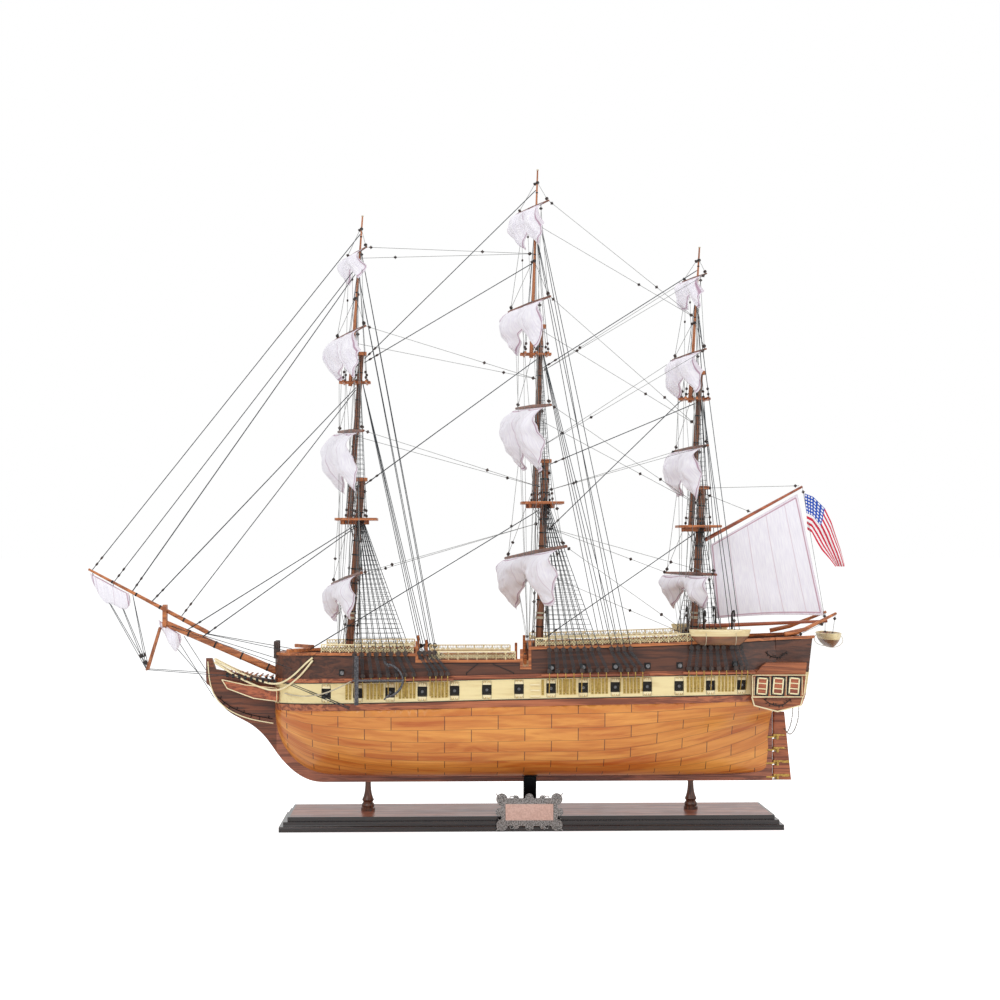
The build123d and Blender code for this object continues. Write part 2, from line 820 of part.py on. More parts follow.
# Rudder, hung on four pintles
rudder_foot = keel_bottom + 0.4
notch_low, strap_low, strap_high = 2.6, 1.4, 3.6
with BuildPart() as rudder:
    with BuildSketch(Plane.XZ):
        with BuildLine():
            Polyline(
                (rudder_axis, rudder_foot), (rudder_axis + rudder_length_foot, rudder_foot),
                (rudder_axis + rudder_length_top, rudder_top), (rudder_axis, rudder_top), close=True,
            )
        make_face()
    extrude(amount=rudder_thickness / 2, both=True)
    with Locations((rudder_axis, 0, rudder_foot)):
        Cylinder(rudder_thickness / 2, rudder_top - rudder_foot, align=standing)
    with Locations((rudder_axis, 0, rudder_top)):
        Cylinder(stock_radius, 22, align=standing)
    for height in hinge_heights:
        with Locations((rudder_axis, 0, height)):
            with Locations((0, 0, (strap_low - notch_low) / 2)):
                Box(8.4, 20, strap_low + notch_low, mode=Mode.SUBTRACT)
            with Locations((0, 0, (strap_low + strap_high) / 2)):
                Box(4, 20, strap_high - strap_low, mode=Mode.SUBTRACT)
save("rudder", rudder.part)


def pintle(height):
    """A strap round the rudder's front with the pin that hangs in the gudgeon."""
    with BuildPart() as strap:
        with Locations((rudder_axis, 0, height + strap_low)):
            Cylinder(rudder_thickness / 2 + strap_plate, strap_high - strap_low, align=standing)
            Box(
                12, rudder_thickness + 2 * strap_plate, strap_high - strap_low,
                align=(Align.MIN, Align.CENTER, Align.MIN),
            )
        add(rudder.part, mode=Mode.SUBTRACT)
        with Locations((rudder_axis, 0, height - 2.2)):
            Cylinder(pin_radius, 2.2 + strap_low + 0.5, align=standing)
    return strap.part


save_group("rudder_pintles", [pintle(height) for height in hinge_heights])


def gudgeon(height):
    """A ring on the stern post with an arm along each side of it."""
    half = keel_thickness / 2
    with BuildPart(Plane(origin=(rudder_axis, 0, height - 0.9))) as ring:
        Cylinder(2.2, 2, align=standing)
        with Locations((stern_face - rudder_axis, 0, 0)):
            Box(rudder_axis - stern_face, 3.6, 2, align=(Align.MIN, Align.CENTER, Align.MIN))
            Box(1.2, 2 * half + 1.2, 2, align=(Align.MIN, Align.CENTER, Align.MIN))
            for side in (-1, 1):
                with Locations((1.2, side * (half + fit), 0)):
                    Box(9, 0.6, 2, align=(Align.MAX, Align.CENTER, Align.MIN))
        Cylinder(pin_radius + running_fit, 10, mode=Mode.SUBTRACT)
    shape = ring.part - keel.part - hull_planking.part
    return max(shape.solids(), key=lambda solid: solid.volume)


save_group("rudder_gudgeons", [gudgeon(height) for height in hinge_heights])

# ---------------------------------------------------------------- spars
save_group("bowsprit", [rod(bowsprit_heel, bowsprit_cap, bowsprit_radius, 4)])

jibboom_heel = (-410, 0, 243.5)
jibboom_tip = (-561, 0, 324)
with BuildPart() as jibboom:
    add(rod(jibboom_heel, jibboom_tip, jibboom_radius, 1.5))
save("jibboom", jibboom.part)


def along(start, end, share):
    """The point a share of the way from start to end."""
    return tuple(a + (b - a) * share for a, b in zip(start, end))


def bowsprit_at(x, lift=0):
    """Point above the bowsprit's axis."""
    share = (x - bowsprit_heel[0]) / (bowsprit_cap[0] - bowsprit_heel[0])
    point = along(bowsprit_heel, bowsprit_cap, share)
    return (point[0], 0, point[2] + lift)


def jibboom_at(x, lift=0):
    """Point above the jibboom's axis."""
    share = (x - jibboom_heel[0]) / (jibboom_tip[0] - jibboom_heel[0])
    point = along(jibboom_heel, jibboom_tip, share)
    return (point[0], 0, point[2] + lift)


def striker(side):
    """One leg of the dolphin striker, hanging from the bowsprit cap."""
    return rod((-470, side * 2.5, 250), (-486, side * 9, 196), 1.7, 1.2)


save_group("dolphin_strikers", both_sides(striker))


def mast_length(mast, length, radius, head_radius):
    """One length of a mast along its raked axis."""
    return rod(*mast.spar(length), radius, head_radius)


save_group("lower_masts", [mast_length(mast, 0, lower_mast_radius, 4.6) for mast in masts])
save_group("topmasts", [mast_length(mast, 1, topmast_radius, 3.2) for mast in masts])
save_group("topgallant_masts", [mast_length(mast, 2, topgallant_radius, 1) for mast in masts])

top_length, top_width = 54, 62


def raked_bores(mast, lengths, clearance):
    """Cutters for the masts that pass through a fitting."""
    radii = (lower_mast_radius, topmast_radius, topgallant_radius)
    return [rod(*mast.spar(length), radii[length] + clearance) for length in lengths]


def fighting_top(mast):
    """The platform on its trestletrees, rounded in front and square behind."""
    centre = mast.axis(mast.top)[0] - doubling / 2
    with BuildPart() as top:
        with BuildSketch(Plane.XY.offset(mast.top)):
            with Locations((centre + 3, 0)):
                RectangleRounded(top_length, top_width, 14)
            with Locations((centre + top_length / 4 + 3, 0)):
                RectangleRounded(top_length / 2, top_width, 3)
        extrude(amount=top_thickness)
        with BuildSketch(Plane.XY.offset(mast.top - 5)):
            with Locations((centre + 1, -7.5), (centre + 1, 7.5)):
                Rectangle(36, 3)
            with Locations((centre - 13, 0), (centre + 15, 0)):
                Rectangle(3, 40)
        extrude(amount=5)
        for bore in raked_bores(mast, (0, 1), fit):
            add(bore, mode=Mode.SUBTRACT)
    return top.part


save_group("fighting_tops", [fighting_top(mast) for mast in masts])


def crosstree(mast):
    """Two trestletrees and three tapering crosstrees at the topmast head."""
    centre = mast.axis(mast.crosstrees, 1)[0] - doubling / 2
    with BuildPart() as trees:
        with BuildSketch(Plane.XY.offset(mast.crosstrees)):
            with Locations((centre, -5.6), (centre, 5.6)):
                Rectangle(40, 2.4)
            with Locations((centre - 14, 0), (centre + doubling / 2 - 5.5, 0), (centre + 15, 0)):
                Rectangle(2.4, 46)
        extrude(amount=3)
        for bore in raked_bores(mast, (1, 2), fit):
            add(bore, mode=Mode.SUBTRACT)
    return trees.part


save_group("crosstrees", [crosstree(mast) for mast in masts])


def cap(mast, length, height, radius):
    """The block that holds an upper mast to the head of the one below."""
    low, high = mast.axis(height, length), mast.axis(height, length + 1)
    size = abs(low[0] - high[0]) + 2 * radius + 5
    with BuildPart() as block:
        with Locations(((low[0] + high[0]) / 2, 0, height)):
            Box(size, 2 * radius + 5, cap_thickness, align=standing)
        fillet(block.edges().filter_by(Axis.Z), 2)
        for bore in raked_bores(mast, (length, length + 1), fit):
            add(bore, mode=Mode.SUBTRACT)
    return block.part


caps = []
for mast in masts:
    caps.append(cap(mast, 0, mast.cap, lower_mast_radius))
    caps.append(cap(mast, 1, mast.topmast_cap, topmast_radius))


def bowsprit_cap_block():
    """The cap at the bowsprit's head that the jibboom runs out through."""
    middle = along(bowsprit_at(-464), jibboom_at(-464), 0.5)
    with BuildPart() as block:
        with Locations((middle[0], 0, middle[2])):
            Box(5, 13, 30)
        fillet(block.edges().filter_by(Axis.X), 3)
        add(rod(bowsprit_heel, bowsprit_cap, bowsprit_radius + fit), mode=Mode.SUBTRACT)
        add(rod(jibboom_heel, jibboom_tip, jibboom_radius + fit), mode=Mode.SUBTRACT)
    return block.part


caps.append(bowsprit_cap_block())
save_group("mast_caps", caps)


class Yard:
    """A yard before its mast: height, length, radius, brace and cant in degrees, and its sail's drop."""

    def __init__(self, mast, length_of_mast, height, span, radius, brace, cant, drop):
        self.mast, self.height, self.span, self.radius, self.drop = mast, height, span, radius, drop
        mast_radius = (lower_mast_radius, topmast_radius, topgallant_radius)[length_of_mast]
        x = mast.axis(height, length_of_mast)[0] - mast_radius - radius - 0.2
        if length_of_mast == 0:
            x -= 2
        self.centre = Vector(x, 0, height)
        self.way = Vector(-sin(radians(brace)), cos(radians(brace)), -tan(radians(cant)))
        self.mast_radius = mast_radius

    def radius_at(self, share):
        """Radius of the tapering yard."""
        return self.radius * (1 - 0.45 * abs(share))

    def at(self, share, out=0, up=0):
        """Point a share of the half span towards starboard, moved forward by out and up by up."""
        point = self.centre + self.way * (self.span / 2 * share)
        return (point.X - out, point.Y, point.Z + up)


yards = {
    "fore": [
        Yard(fore, 0, 312, 264, 3.1, 11, 4, 50), Yard(fore, 1, 500, 196, 2.9, 12, -3, 76),
        Yard(fore, 2, 626, 136, 2.3, 19, 1.5, 57), Yard(fore, 2, 729, 92, 1.8, 19, 1, 36),
    ],
    "main": [
        Yard(main, 0, 345, 300, 3.3, 12, 3, 66), Yard(main, 1, 532, 214, 3.0, 9, -3, 80),
        Yard(main, 2, 664, 144, 2.4, 19, 1, 58), Yard(main, 2, 789, 96, 1.8, 22, 1, 50),
    ],
    "mizzen": [
        Yard(mizzen, 0, 318, 196, 2.7, 12, 0, 42), Yard(mizzen, 1, 479, 150, 2.6, 9, 0, 62),
        Yard(mizzen, 2, 600, 106, 2.0, 16, 2, 52), Yard(mizzen, 2, 699, 72, 1.6, 18, 1, 40),
    ],
}


def yard_spar(yard):
    """A yard tapering from its slings to both arms, with the parrel that holds it to the mast."""
    with BuildPart() as spar:
        for share in (-1, 1):
            add(rod(yard.at(0), yard.at(share), yard.radius, 0.55 * yard.radius))
        with Locations(yard.at(0)):
            Sphere(yard.radius)
    return spar.part


for name, group in yards.items():
    save_group(f"{name}_yards", [yard_spar(yard) for yard in group])

gaff_jaw, gaff_peak = (225, 0, 361), (351.5, 0, 430)
boom_jaw, boom_end = (217.5, 0, 250.5), (383, 0, 257)
save_group("spanker_spars", [rod(gaff_jaw, gaff_peak, 2.6, 1.5), rod(boom_jaw, boom_end, 2.8, 1.9)])

# ---------------------------------------------------------------- sails and flag (plain solids)
sail_thickness = 4
sail_offset = 1.5              # from the yard's front to the middle of the cloth
sail_head = 0.8                # share of the yard's radius that the cloth starts below its axis
bunt_drop = 0.34               # share of the drop that the gathered middle hangs


def square_sail(yard):
    """The clewed-up sail: two lobes below its yard, its middle drawn up clear of the mast fittings behind."""
    half = 0.44 * yard.span
    bunt = -bunt_drop * yard.drop
    origin = Vector(*yard.at(0, out=yard.radius + sail_offset, up=-sail_head * yard.radius))
    across = Vector(yard.way.X, yard.way.Y, yard.way.Z).normalized()
    plane = Plane(origin=origin, x_dir=across, z_dir=across.cross(Vector(0, 0, 1)))
    with BuildPart() as sail:
        with BuildSketch(plane):
            with BuildLine():
                Polyline(
                    (-half, 0), (half, 0), (0.94 * half, -yard.drop), (0.3 * half, -yard.drop),
                    (0.16 * half, bunt), (-0.16 * half, bunt), (-0.3 * half, -yard.drop),
                    (-0.94 * half, -yard.drop), close=True,
                )
            make_face()
        extrude(amount=sail_thickness / 2, both=True)
    return sail.part


for name, group in yards.items():
    save_group(f"{name}_sails", [square_sail(yard) for yard in group])


def headsail(start, end, radius):
    """A furled headsail hanging under its boom."""
    return rod(start, end, radius, 0.8 * radius)


save_group("headsails", [
    headsail(jibboom_at(-556, -9), jibboom_at(-514, -11), 6),
    headsail(bowsprit_at(-463, -19), bowsprit_at(-432, -19), 7),
])

with BuildPart() as spanker_sail:
    with BuildSketch(Plane.XZ):
        with BuildLine():
            Polyline((229.5, 356), (346, 423), (379, 263.5), (238, 259.5), close=True)
        make_face()
    extrude(amount=0.75, both=True)
save("spanker_sail", spanker_sail.part)

flag_hoist_x = 353.6
with BuildPart() as flag:
    with BuildSketch(Plane.XZ):
        with BuildLine():
            Polyline(
                (flag_hoist_x, 422), (370, 417), (392, 383), (406, 326), (392, 327), (375, 349),
                (flag_hoist_x + 8, 375), close=True,
            )
        make_face()
    extrude(amount=2.5, both=True)
save("flag", flag.part)

# ---------------------------------------------------------------- guns, head, anchors, boats, deck gear
barrel_radius, muzzle_reach = 1.9, 1.4


def barrel(x, side):
    """A stub gun barrel seated on the black strip behind its port."""
    z = port_height(x)
    beam = half_breadth(x, z)
    root = beam - hull_wall - 0.4
    with BuildPart() as gun:
        muzzle = (x, side * (beam + muzzle_reach), z)
        add(rod((x, side * root, z), muzzle, barrel_radius, barrel_radius - 0.3))
        add(rod((x, side * (beam - 1), z), (x, side * (beam + muzzle_reach + 1), z), 0.9), mode=Mode.SUBTRACT)
    return gun.part


save_group("gun_barrels", [barrel(x, side) for x in port_places for side in (-1, 1)])


def bent_bar(points, radii, radius):
    """A round bar along straight runs joined by arcs."""
    with BuildPart() as bar:
        with BuildLine() as way:
            FilletPolyline(*points, radius=radii)
        with BuildSketch(Plane(origin=way.line @ 0, z_dir=way.line % 0)):
            Circle(radius)
        sweep()
    return bar.part


def head_rail(side, drop):
    """A head rail from the knee, dipping along the bow and rising to the fore rail."""
    hug = 1.6
    landings = ((-300, 190), (-286, 203))
    aft_points = [(x, side * (half_breadth(x, z - drop) + hug), z - drop) for x, z in landings]
    points = [
        (-401, side * 5.4, 210 - 0.5 * drop), (-372, side * 10, 195 - 0.8 * drop),
        (-343, side * 19, 184 - drop), (-320, side * 30, 180.5 - drop), *aft_points,
        (-273, side * (half_breadth(-273, 214) + hug + 0.6), 214.5 - 0.4 * drop),
    ]
    with BuildPart() as rail:
        with BuildLine() as way:
            Spline(*points)
        with BuildSketch(Plane(origin=way.line @ 0, z_dir=way.line % 0)):
            Circle(1.2)
        sweep()
    return rail.part


def head_panel(side):
    """The board between the knee and the bow."""
    with BuildPart() as panel:
        with BuildSketch(Plane.XY.offset(155)):
            with BuildLine():
                inner = side * (keel_thickness / 2 + 0.05)
                Polyline(
                    (-394, inner), (-318, inner), (-318, side * 26), (-345, side * 15), (-394, side * 6),
                    close=True,
                )
            make_face()
        extrude(amount=34)
        with BuildSketch(Plane.XZ.offset(-40)):
            with BuildLine():
                Polyline(
                    (-392, 185), (-360, 178.5), (-316, 175), (-316, 157), (-350, 160), (-385, 173),
                    close=True,
                )
            make_face()
        extrude(amount=80, mode=Mode.INTERSECT)
        add(hull_at_wale, mode=Mode.SUBTRACT)
    return panel.part


head_pieces = []
for side in (-1, 1):
    head_pieces += [head_rail(side, 0), head_rail(side, 8), head_panel(side)]
save_group("head_rails", head_pieces)

cathead_size = 4.6


def cathead(side):
    """The beam over the bow that the anchor is hoisted to."""
    start = Vector(-279, side * 34, fore_rail + cathead_size / 2 + 0.1)
    end = Vector(-303, side * 66, fore_rail + cathead_size / 2 + 0.1)
    with BuildPart(Plane(origin=start, z_dir=end - start, x_dir=(0, 0, 1))) as beam:
        Box(cathead_size, cathead_size, (end - start).length, align=standing)
        fillet(beam.edges().filter_by(lambda edge: edge.length > 20), 0.8)
    return beam.part


save_group("catheads", both_sides(cathead))

shank_start, shank_end = -217, -160
shank_radius, stock_length = 1.6, 60
anchor_level = strake_top(-190) + strip_height / 2
anchor_out = channel_edge(-190) + 1.1 + shank_radius + fit


def anchor(side):
    """A stocked anchor lashed along the fore channel."""
    y = side * anchor_out
    crown = (shank_end, y, anchor_level)
    with BuildPart() as iron:
        add(rod((shank_start - 5, y, anchor_level), crown, shank_radius))
        for lift in (-1, 1):
            tip = (shank_end - 20, y, anchor_level + lift * 20)
            with BuildLine() as arm:
                ThreePointArc(crown, (shank_end - 5, y, anchor_level + lift * 12), tip)
            with BuildSketch(Plane(origin=arm.line @ 0, z_dir=arm.line % 0)):
                Circle(1.4)
            sweep(path=arm.line)
            with Locations(Location(tip, (0, -45 * lift, 0))):
                Box(1.6, 7, 9)
        with Locations((shank_start, y, anchor_level)):
            Box(5, 4.4, stock_length)
    return iron.part


save_group("anchors", both_sides(anchor))

cable_radius = 0.8
cable_bends = [9, 12, 12]


def anchor_cable(side):
    """The cable from the hawse hole to the anchor ring, hanging in a bight along the bow."""
    points = [
        (-309, side * (half_breadth(-309, 169) + 1.2), 169), (-296, side * 49, 166.5),
        (-272, side * 66, 167.5), (-246, side * 82, 175), (-223.5, side * 88.5, anchor_level - 1),
    ]
    return bent_bar(points, cable_bends, cable_radius)


save("anchor_cable_port", anchor_cable(-1))
save("anchor_cable_starboard", anchor_cable(1))
cable_length = anchor_cable(1).volume / (pi * cable_radius ** 2)
print("anchor cable bend radii", cable_bends, "length", round(cable_length, 1))

chain_radius = 0.6
chain_bends = [5, 6, 4, 4]


def rudder_chain(side):
    """The chain that hangs from the counter to the eye on the rudder's side."""
    points = [
        (342, side * 20, 151), (342, side * 20, 138), (338.5, side * 17.5, 122), (333.5, side * 13, 113),
        (329, side * 8.5, 114), (326.6, side * 4.4, 119.5),
    ]
    return bent_bar(points, chain_bends, chain_radius)


save("rudder_chain_port", rudder_chain(-1))
save("rudder_chain_starboard", rudder_chain(1))
chain_length = rudder_chain(1).volume / (pi * chain_radius ** 2)
print("rudder chain bend radii", chain_bends, "length", round(chain_length, 1))

stern_davit_tip = (388, 30, 268)
davit_rest = 330


def stern_davit(side):
    """A wooden davit seated on the quarter rail, reaching out over the stern."""
    foot_y = half_breadth(davit_rest, rail_height(davit_rest)) - 2
    foot = (318, side * foot_y, rail_height(318) + 3.3)
    knee = (344, side * (foot_y - 2), rail_height(344) + 8)
    tip = (stern_davit_tip[0], side * stern_davit_tip[1], stern_davit_tip[2])
    with BuildPart() as davit:
        add(rod(foot, knee, 2.9, 2.6))
        with Locations(knee):
            Sphere(2.6)
        add(rod(knee, tip, 2.6, 1.7))
    return davit.part


quarter_boat_x, quarter_boat_length, quarter_boat_beam, boat_depth = 231, 77, 23, 19
quarter_boat_y = half_breadth(231, 238) + 4.5 + quarter_boat_beam / 2
quarter_boat_keel = 231


def quarter_davit(x, side):
    """A curved iron davit stepped on the rail beside a quarter boat."""
    base_y = half_breadth(x, rail_height(x)) - 0.8
    points = [
        (x, side * base_y, rail_height(x) + 0.1), (x, side * base_y, 271), (x, side * quarter_boat_y, 273.5),
        (x, side * quarter_boat_y, 266),
    ]
    return bent_bar(points, [7, 3], 1.2)


davit_spacing = 18
davit_places = [(quarter_boat_x + davit_spacing * end, side) for side in (-1, 1) for end in (-1, 1)]
save_group("davits", both_sides(stern_davit) + [quarter_davit(x, side) for x, side in davit_places])


def boat(length, beam, depth):
    """An open ship's boat with three thwarts, its keel on the origin."""
    wall = 1.2
    with BuildPart() as hull_of_boat:
        sizes = ((0, 0.62, 0.12), (0.25, 0.8, 0.6), (0.6, 0.93, 0.9), (1, 1, 1))
        for rise, long, wide in sizes:
            with BuildSketch(Plane.XY.offset(depth * rise)):
                Ellipse(length * long / 2, beam * wide / 2)
        loft()
        for rise, long, wide in sizes:
            with BuildSketch(Plane.XY.offset(wall + depth * rise)):
                Ellipse(length * long / 2 - 2 * wall, max(beam * wide / 2 - wall, 0.5))
        loft(mode=Mode.SUBTRACT)
        for x in (-length / 4, 0, length / 4):
            with Locations((x, 0, 0.72 * depth)):
                Box(3.4, 2 * (beam / 2 - wall) * (1 - (2 * x / length) ** 2) ** 0.5 * 0.97, 1)
    return hull_of_boat.part


stern_boat = boat(88, 27, 18).moved(Location((stern_davit_tip[0] - 3.5, 0, 224.5), (0, 0, 90)))
quarter_boats = [
    boat(quarter_boat_length, quarter_boat_beam, boat_depth).moved(
        Location((quarter_boat_x, side * quarter_boat_y, quarter_boat_keel))
    )
    for side in (-1, 1)
]
save_group("ship_boats", [stern_boat] + quarter_boats)

capstan_x = -115
with BuildPart() as capstan:
    with BuildSketch(Plane.XZ):
        with BuildLine():
            Polyline(
                (0, 0), (7, 0), (7, 1.6), (4.4, 2.4), (3.6, 9), (6.2, 9.6), (6.2, 12.6), (3, 13.8), (0, 13.8),
                close=True,
            )
        make_face()
    revolve(axis=Axis.Z)
save("capstan", capstan.part.moved(Location((capstan_x, 0, deck_surface(capstan_x) + 0.02))))

wheel_x, wheel_lift, wheel_radius = 158, 13.5, 8.4
wheel_shaft_radius = 1.1
wheel_centre = (wheel_x, 0, deck_surface(wheel_x + 10) + wheel_lift)
with BuildPart(Plane(origin=wheel_centre, z_dir=(1, 0, 0))) as steering_wheel:
    Cylinder(wheel_radius + 0.9, 1.6)
    Cylinder(wheel_radius - 0.9, 1.6, mode=Mode.SUBTRACT)
    Cylinder(2, 3)
    Cylinder(wheel_shaft_radius, 14.5, align=standing)
    with PolarLocations(0, 8):
        with Locations(Location((0, 0, 0), (0, 90, 0))):
            Cylinder(0.55, wheel_radius + 3, align=standing)
save("steering_wheel", steering_wheel.part)

with BuildPart() as wheel_stand:
    for x in (wheel_x + 4.5, wheel_x + 12):
        with Locations((x, 0, deck_surface(x) + 0.05)):
            Box(2.4, 9, wheel_lift + 2.5, align=standing)
    with Locations((wheel_x + 8.25, 0, deck_surface(wheel_x + 8) + 3)):
        Box(7.5, 5, 2, align=standing)
    with Locations(Location(wheel_centre, (0, 90, 0))):
        Cylinder(wheel_shaft_radius + running_fit, 60, mode=Mode.SUBTRACT)
save("wheel_stand", wheel_stand.part)

# ---------------------------------------------------------------- rigging
shroud_radius, stay_radius, light_radius = 0.45, 0.55, 0.3
lanyard_radius = bobstay_radius = 0.4
topmast_shroud_radius = 0.35


def seat(mast, height, length, x_way, y_way):
    """Point just outside a mast at a height, on the side towards (x_way, y_way)."""
    radius = (lower_mast_radius, topmast_radius, topgallant_radius)[length]
    if length == 2:
        radius = 1 + (topgallant_radius - 1) * (mast.truck - height) / (mast.truck - mast.crosstrees)
    centre = mast.axis(height, length)
    size = sqrt(x_way * x_way + y_way * y_way)
    return (centre[0] + (radius + 0.2) * x_way / size, (radius + 0.2) * y_way / size, height)


shroud_lines = []
for mast in masts:
    hound = mast.crosstrees + 0.8 * (mast.truck - mast.crosstrees)
    places = shroud_places[mast.name]
    count = shroud_counts[mast.name]
    for side in (-1, 1):
        for i, x in enumerate(places):
            low = lower_deadeye(x, side)
            high = upper_deadeye(x, side, shroud_lean(mast, x))
            for shift in (-1.5, 0, 1.5):
                lanyard_foot = (low[0] + shift, low[1], low[2] + deadeye_radius)
                lanyard_head = (high[0] + shift, high[1], high[2] - deadeye_radius)
                shroud_lines.append(rod(lanyard_foot, lanyard_head, lanyard_radius))
            start = (high[0], high[1], high[2] + deadeye_radius)
            if i < count:
                end = seat(mast, mast.top + 6 + 0.6 * i, 0, 0.1 * (i - count / 2), side)
            elif i < count + 2:
                end = seat(mast, mast.crosstrees + 5, 1, 1, side)
            elif i == count + 2:
                end = seat(mast, hound - 36, 2, 1, side)
            else:
                end = seat(mast, hound, 2, 1, side)
            shroud_lines.append(rod(start, end, shroud_radius))
        centre = mast.axis(mast.top)[0] - doubling / 2
        for i in range(4):
            rim = (centre - 9 + 8 * i, side * (top_width / 2 - 1.2), mast.top + top_thickness + 0.2)
            under = (rim[0], rim[1], mast.top - 0.2)
            above_end = seat(mast, mast.crosstrees - 2, 1, 0.3 * (i - 1.5), side)
            below_end = seat(mast, mast.top - 26, 0, 0.2 * (i - 1.5), side)
            shroud_lines.append(rod(rim, above_end, topmast_shroud_radius))
            shroud_lines.append(rod(under, below_end, topmast_shroud_radius))
        trees = mast.axis(mast.crosstrees, 1)[0] - doubling / 2
        for offset in (-14, 0.3, 15):
            start = (trees + offset, side * 22, mast.crosstrees + 3.2)
            shroud_lines.append(rod(start, seat(mast, hound - 30, 2, 0.1 * offset, side), light_radius))
save_group("shrouds", shroud_lines)


def mast_stay(mast, height, length):
    """Where a stay leaves the front of a mast."""
    return seat(mast, height, length, -1, 0)


def mast_collar(mast, height, length, side=0.0):
    """Where a stay comes down to the back of the mast before it."""
    return seat(mast, height, length, 1, side)


def doubled(start, end, spread):
    """A stay laid double, side by side at its lower end."""
    return [(start, (end[0], side * spread, end[2])) for side in (-1, 1)]


fore_hound = fore.crosstrees + 0.8 * (fore.truck - fore.crosstrees)
main_hound = main.crosstrees + 0.8 * (main.truck - main.crosstrees)
mizzen_hound = mizzen.crosstrees + 0.8 * (mizzen.truck - mizzen.crosstrees)
stays = [
    (mast_stay(fore, fore_hound + 20, 2), jibboom_at(-556, 2)),
    (mast_stay(fore, fore_hound - 20, 2), jibboom_at(-528, 2.3)),
    *doubled(mast_stay(fore, fore_hound - 28, 2), jibboom_at(-505, 2.4), 1.6),
    *doubled(mast_stay(fore, fore.crosstrees - 5, 1), jibboom_at(-480, 2.8), 2),
    (mast_stay(fore, fore.crosstrees - 8, 1), jibboom_at(-443, 3.4)),
    *doubled(mast_stay(fore, fore.top - 7, 0), bowsprit_at(-436, 3.2), 3.8),
    *doubled(mast_stay(fore, fore.top - 10, 0), bowsprit_at(-416, 3.4), 3.8),
    (mast_stay(main, main_hound + 22, 2), mast_collar(fore, fore.topmast_cap - 4, 1)),
    (mast_stay(main, main_hound - 72, 2), mast_collar(fore, fore.topmast_cap - 9, 1)),
    *[(start, mast_collar(fore, fore.cap - 4, 0, end[1])) for start, end in
      doubled(mast_stay(main, main.crosstrees - 5, 1), (0, 0, 0), 0.5)],
    *[(mast_stay(main, main.top - 7, 0), (-300, side * 12, deck_surface(-300) + 1)) for side in (-1, 1)],
    (mast_stay(mizzen, mizzen_hound + 10, 2), mast_collar(main, main.crosstrees - 16, 1)),
    (mast_stay(mizzen, mizzen.crosstrees - 4, 1), mast_collar(main, main.cap - 2, 0)),
    (mast_stay(mizzen, mizzen.topmast_cap - 14, 1), mast_collar(main, main.top - 34, 0)),
    (mast_stay(mizzen, mizzen.top - 7, 0), mast_collar(main, deck_height + 32, 0)),
]
bobstays = [
    ((-463, 0, 240), (-409.5, 0, 178)),
    ((-455, 0, 245), (-401, 0, 160)),
    ((-440, 0, 239), (-412.2, 0, 196)),
]
strikers_end = [(-485.5, side * 9, 197) for side in (-1, 1)]
for tip in strikers_end:
    for x in (-556, -530, -505):
        bobstays.append((jibboom_at(x, -2.4), tip))
    bobstays.append((tip, (-330, (1 if tip[1] > 0 else -1) * 24, 186)))
for side in (-1, 1):
    shrouds_of_bowsprit = (bowsprit_at(-455, 0)[0], side * 4.6, bowsprit_at(-455, 0)[2])
    bobstays.append((shrouds_of_bowsprit, (-300, side * 41, 200)))
    bobstays.append(((-412, side * 3.5, 242), (-306, side * 30, fore_rail + 0.3)))

running = []
brace_targets = {
    "fore": [
        mast_stay(main, main.top - 24, 0), mast_stay(main, main.top + 22, 0),
        mast_stay(main, main.crosstrees - 30, 1), mast_stay(main, main_hound - 60, 2),
    ],
    "main": [
        (206, 30, rail_height(206) + 3), mast_stay(mizzen, mizzen.top + 30, 0),
        mast_stay(mizzen, mizzen.crosstrees - 30, 1), mast_stay(mizzen, mizzen_hound - 50, 2),
    ],
    "mizzen": [
        mast_collar(main, main.top - 30, 0), mast_collar(main, main.top + 18, 0),
        mast_collar(main, main.cap + 20, 1), mast_collar(main, main.crosstrees - 20, 1),
    ],
}
for mast in masts:
    group = yards[mast.name]
    halfway_up = mast.crosstrees + 0.52 * (mast.truck - mast.crosstrees)
    lift_heights = (mast.cap - 3, mast.topmast_cap - 3, halfway_up, mast.truck - 14)
    lift_lengths = (0, 1, 2, 2)
    for level, yard in enumerate(group):
        for side in (-1, 1):
            arm = yard.at(0.93 * side, up=yard.radius_at(0.93))
            running.append((arm, seat(mast, lift_heights[level], lift_lengths[level], -1, side)))
            target = brace_targets[mast.name][level]
            brace_end = (target[0], side * max(abs(target[1]), 0.4), target[2])
            running.append((yard.at(0.95 * side, out=-yard.radius_at(0.95)), brace_end))
            if level:
                below = group[level - 1]
                sheet_end = below.at(0.9 * side, up=below.radius_at(0.9))
                running.append((yard.at(0.5 * side, up=-yard.radius_at(0.5)), sheet_end))
            else:
                start = yard.at(0.72 * side, up=-yard.radius_at(0.72))
                rail_side = half_breadth(yard.centre.X, rail_height(yard.centre.X)) - 3
                foot = (start[0] + 18, side * rail_side, rail_height(yard.at(0)[0] + 18) + 1)
                running.append((start, foot))
    for side in (-1, 1):
        falls = ((-7, mast.topmast_cap - 6, 1), (7, mast.cap - 8, 0), (-11, mast.cap - 5, 0))
        for offset, height, length in falls:
            foot = (mast.foot + offset, side * 9, deck_surface(mast.foot) + 1.5)
            running.append((seat(mast, height, length, offset, side), foot))
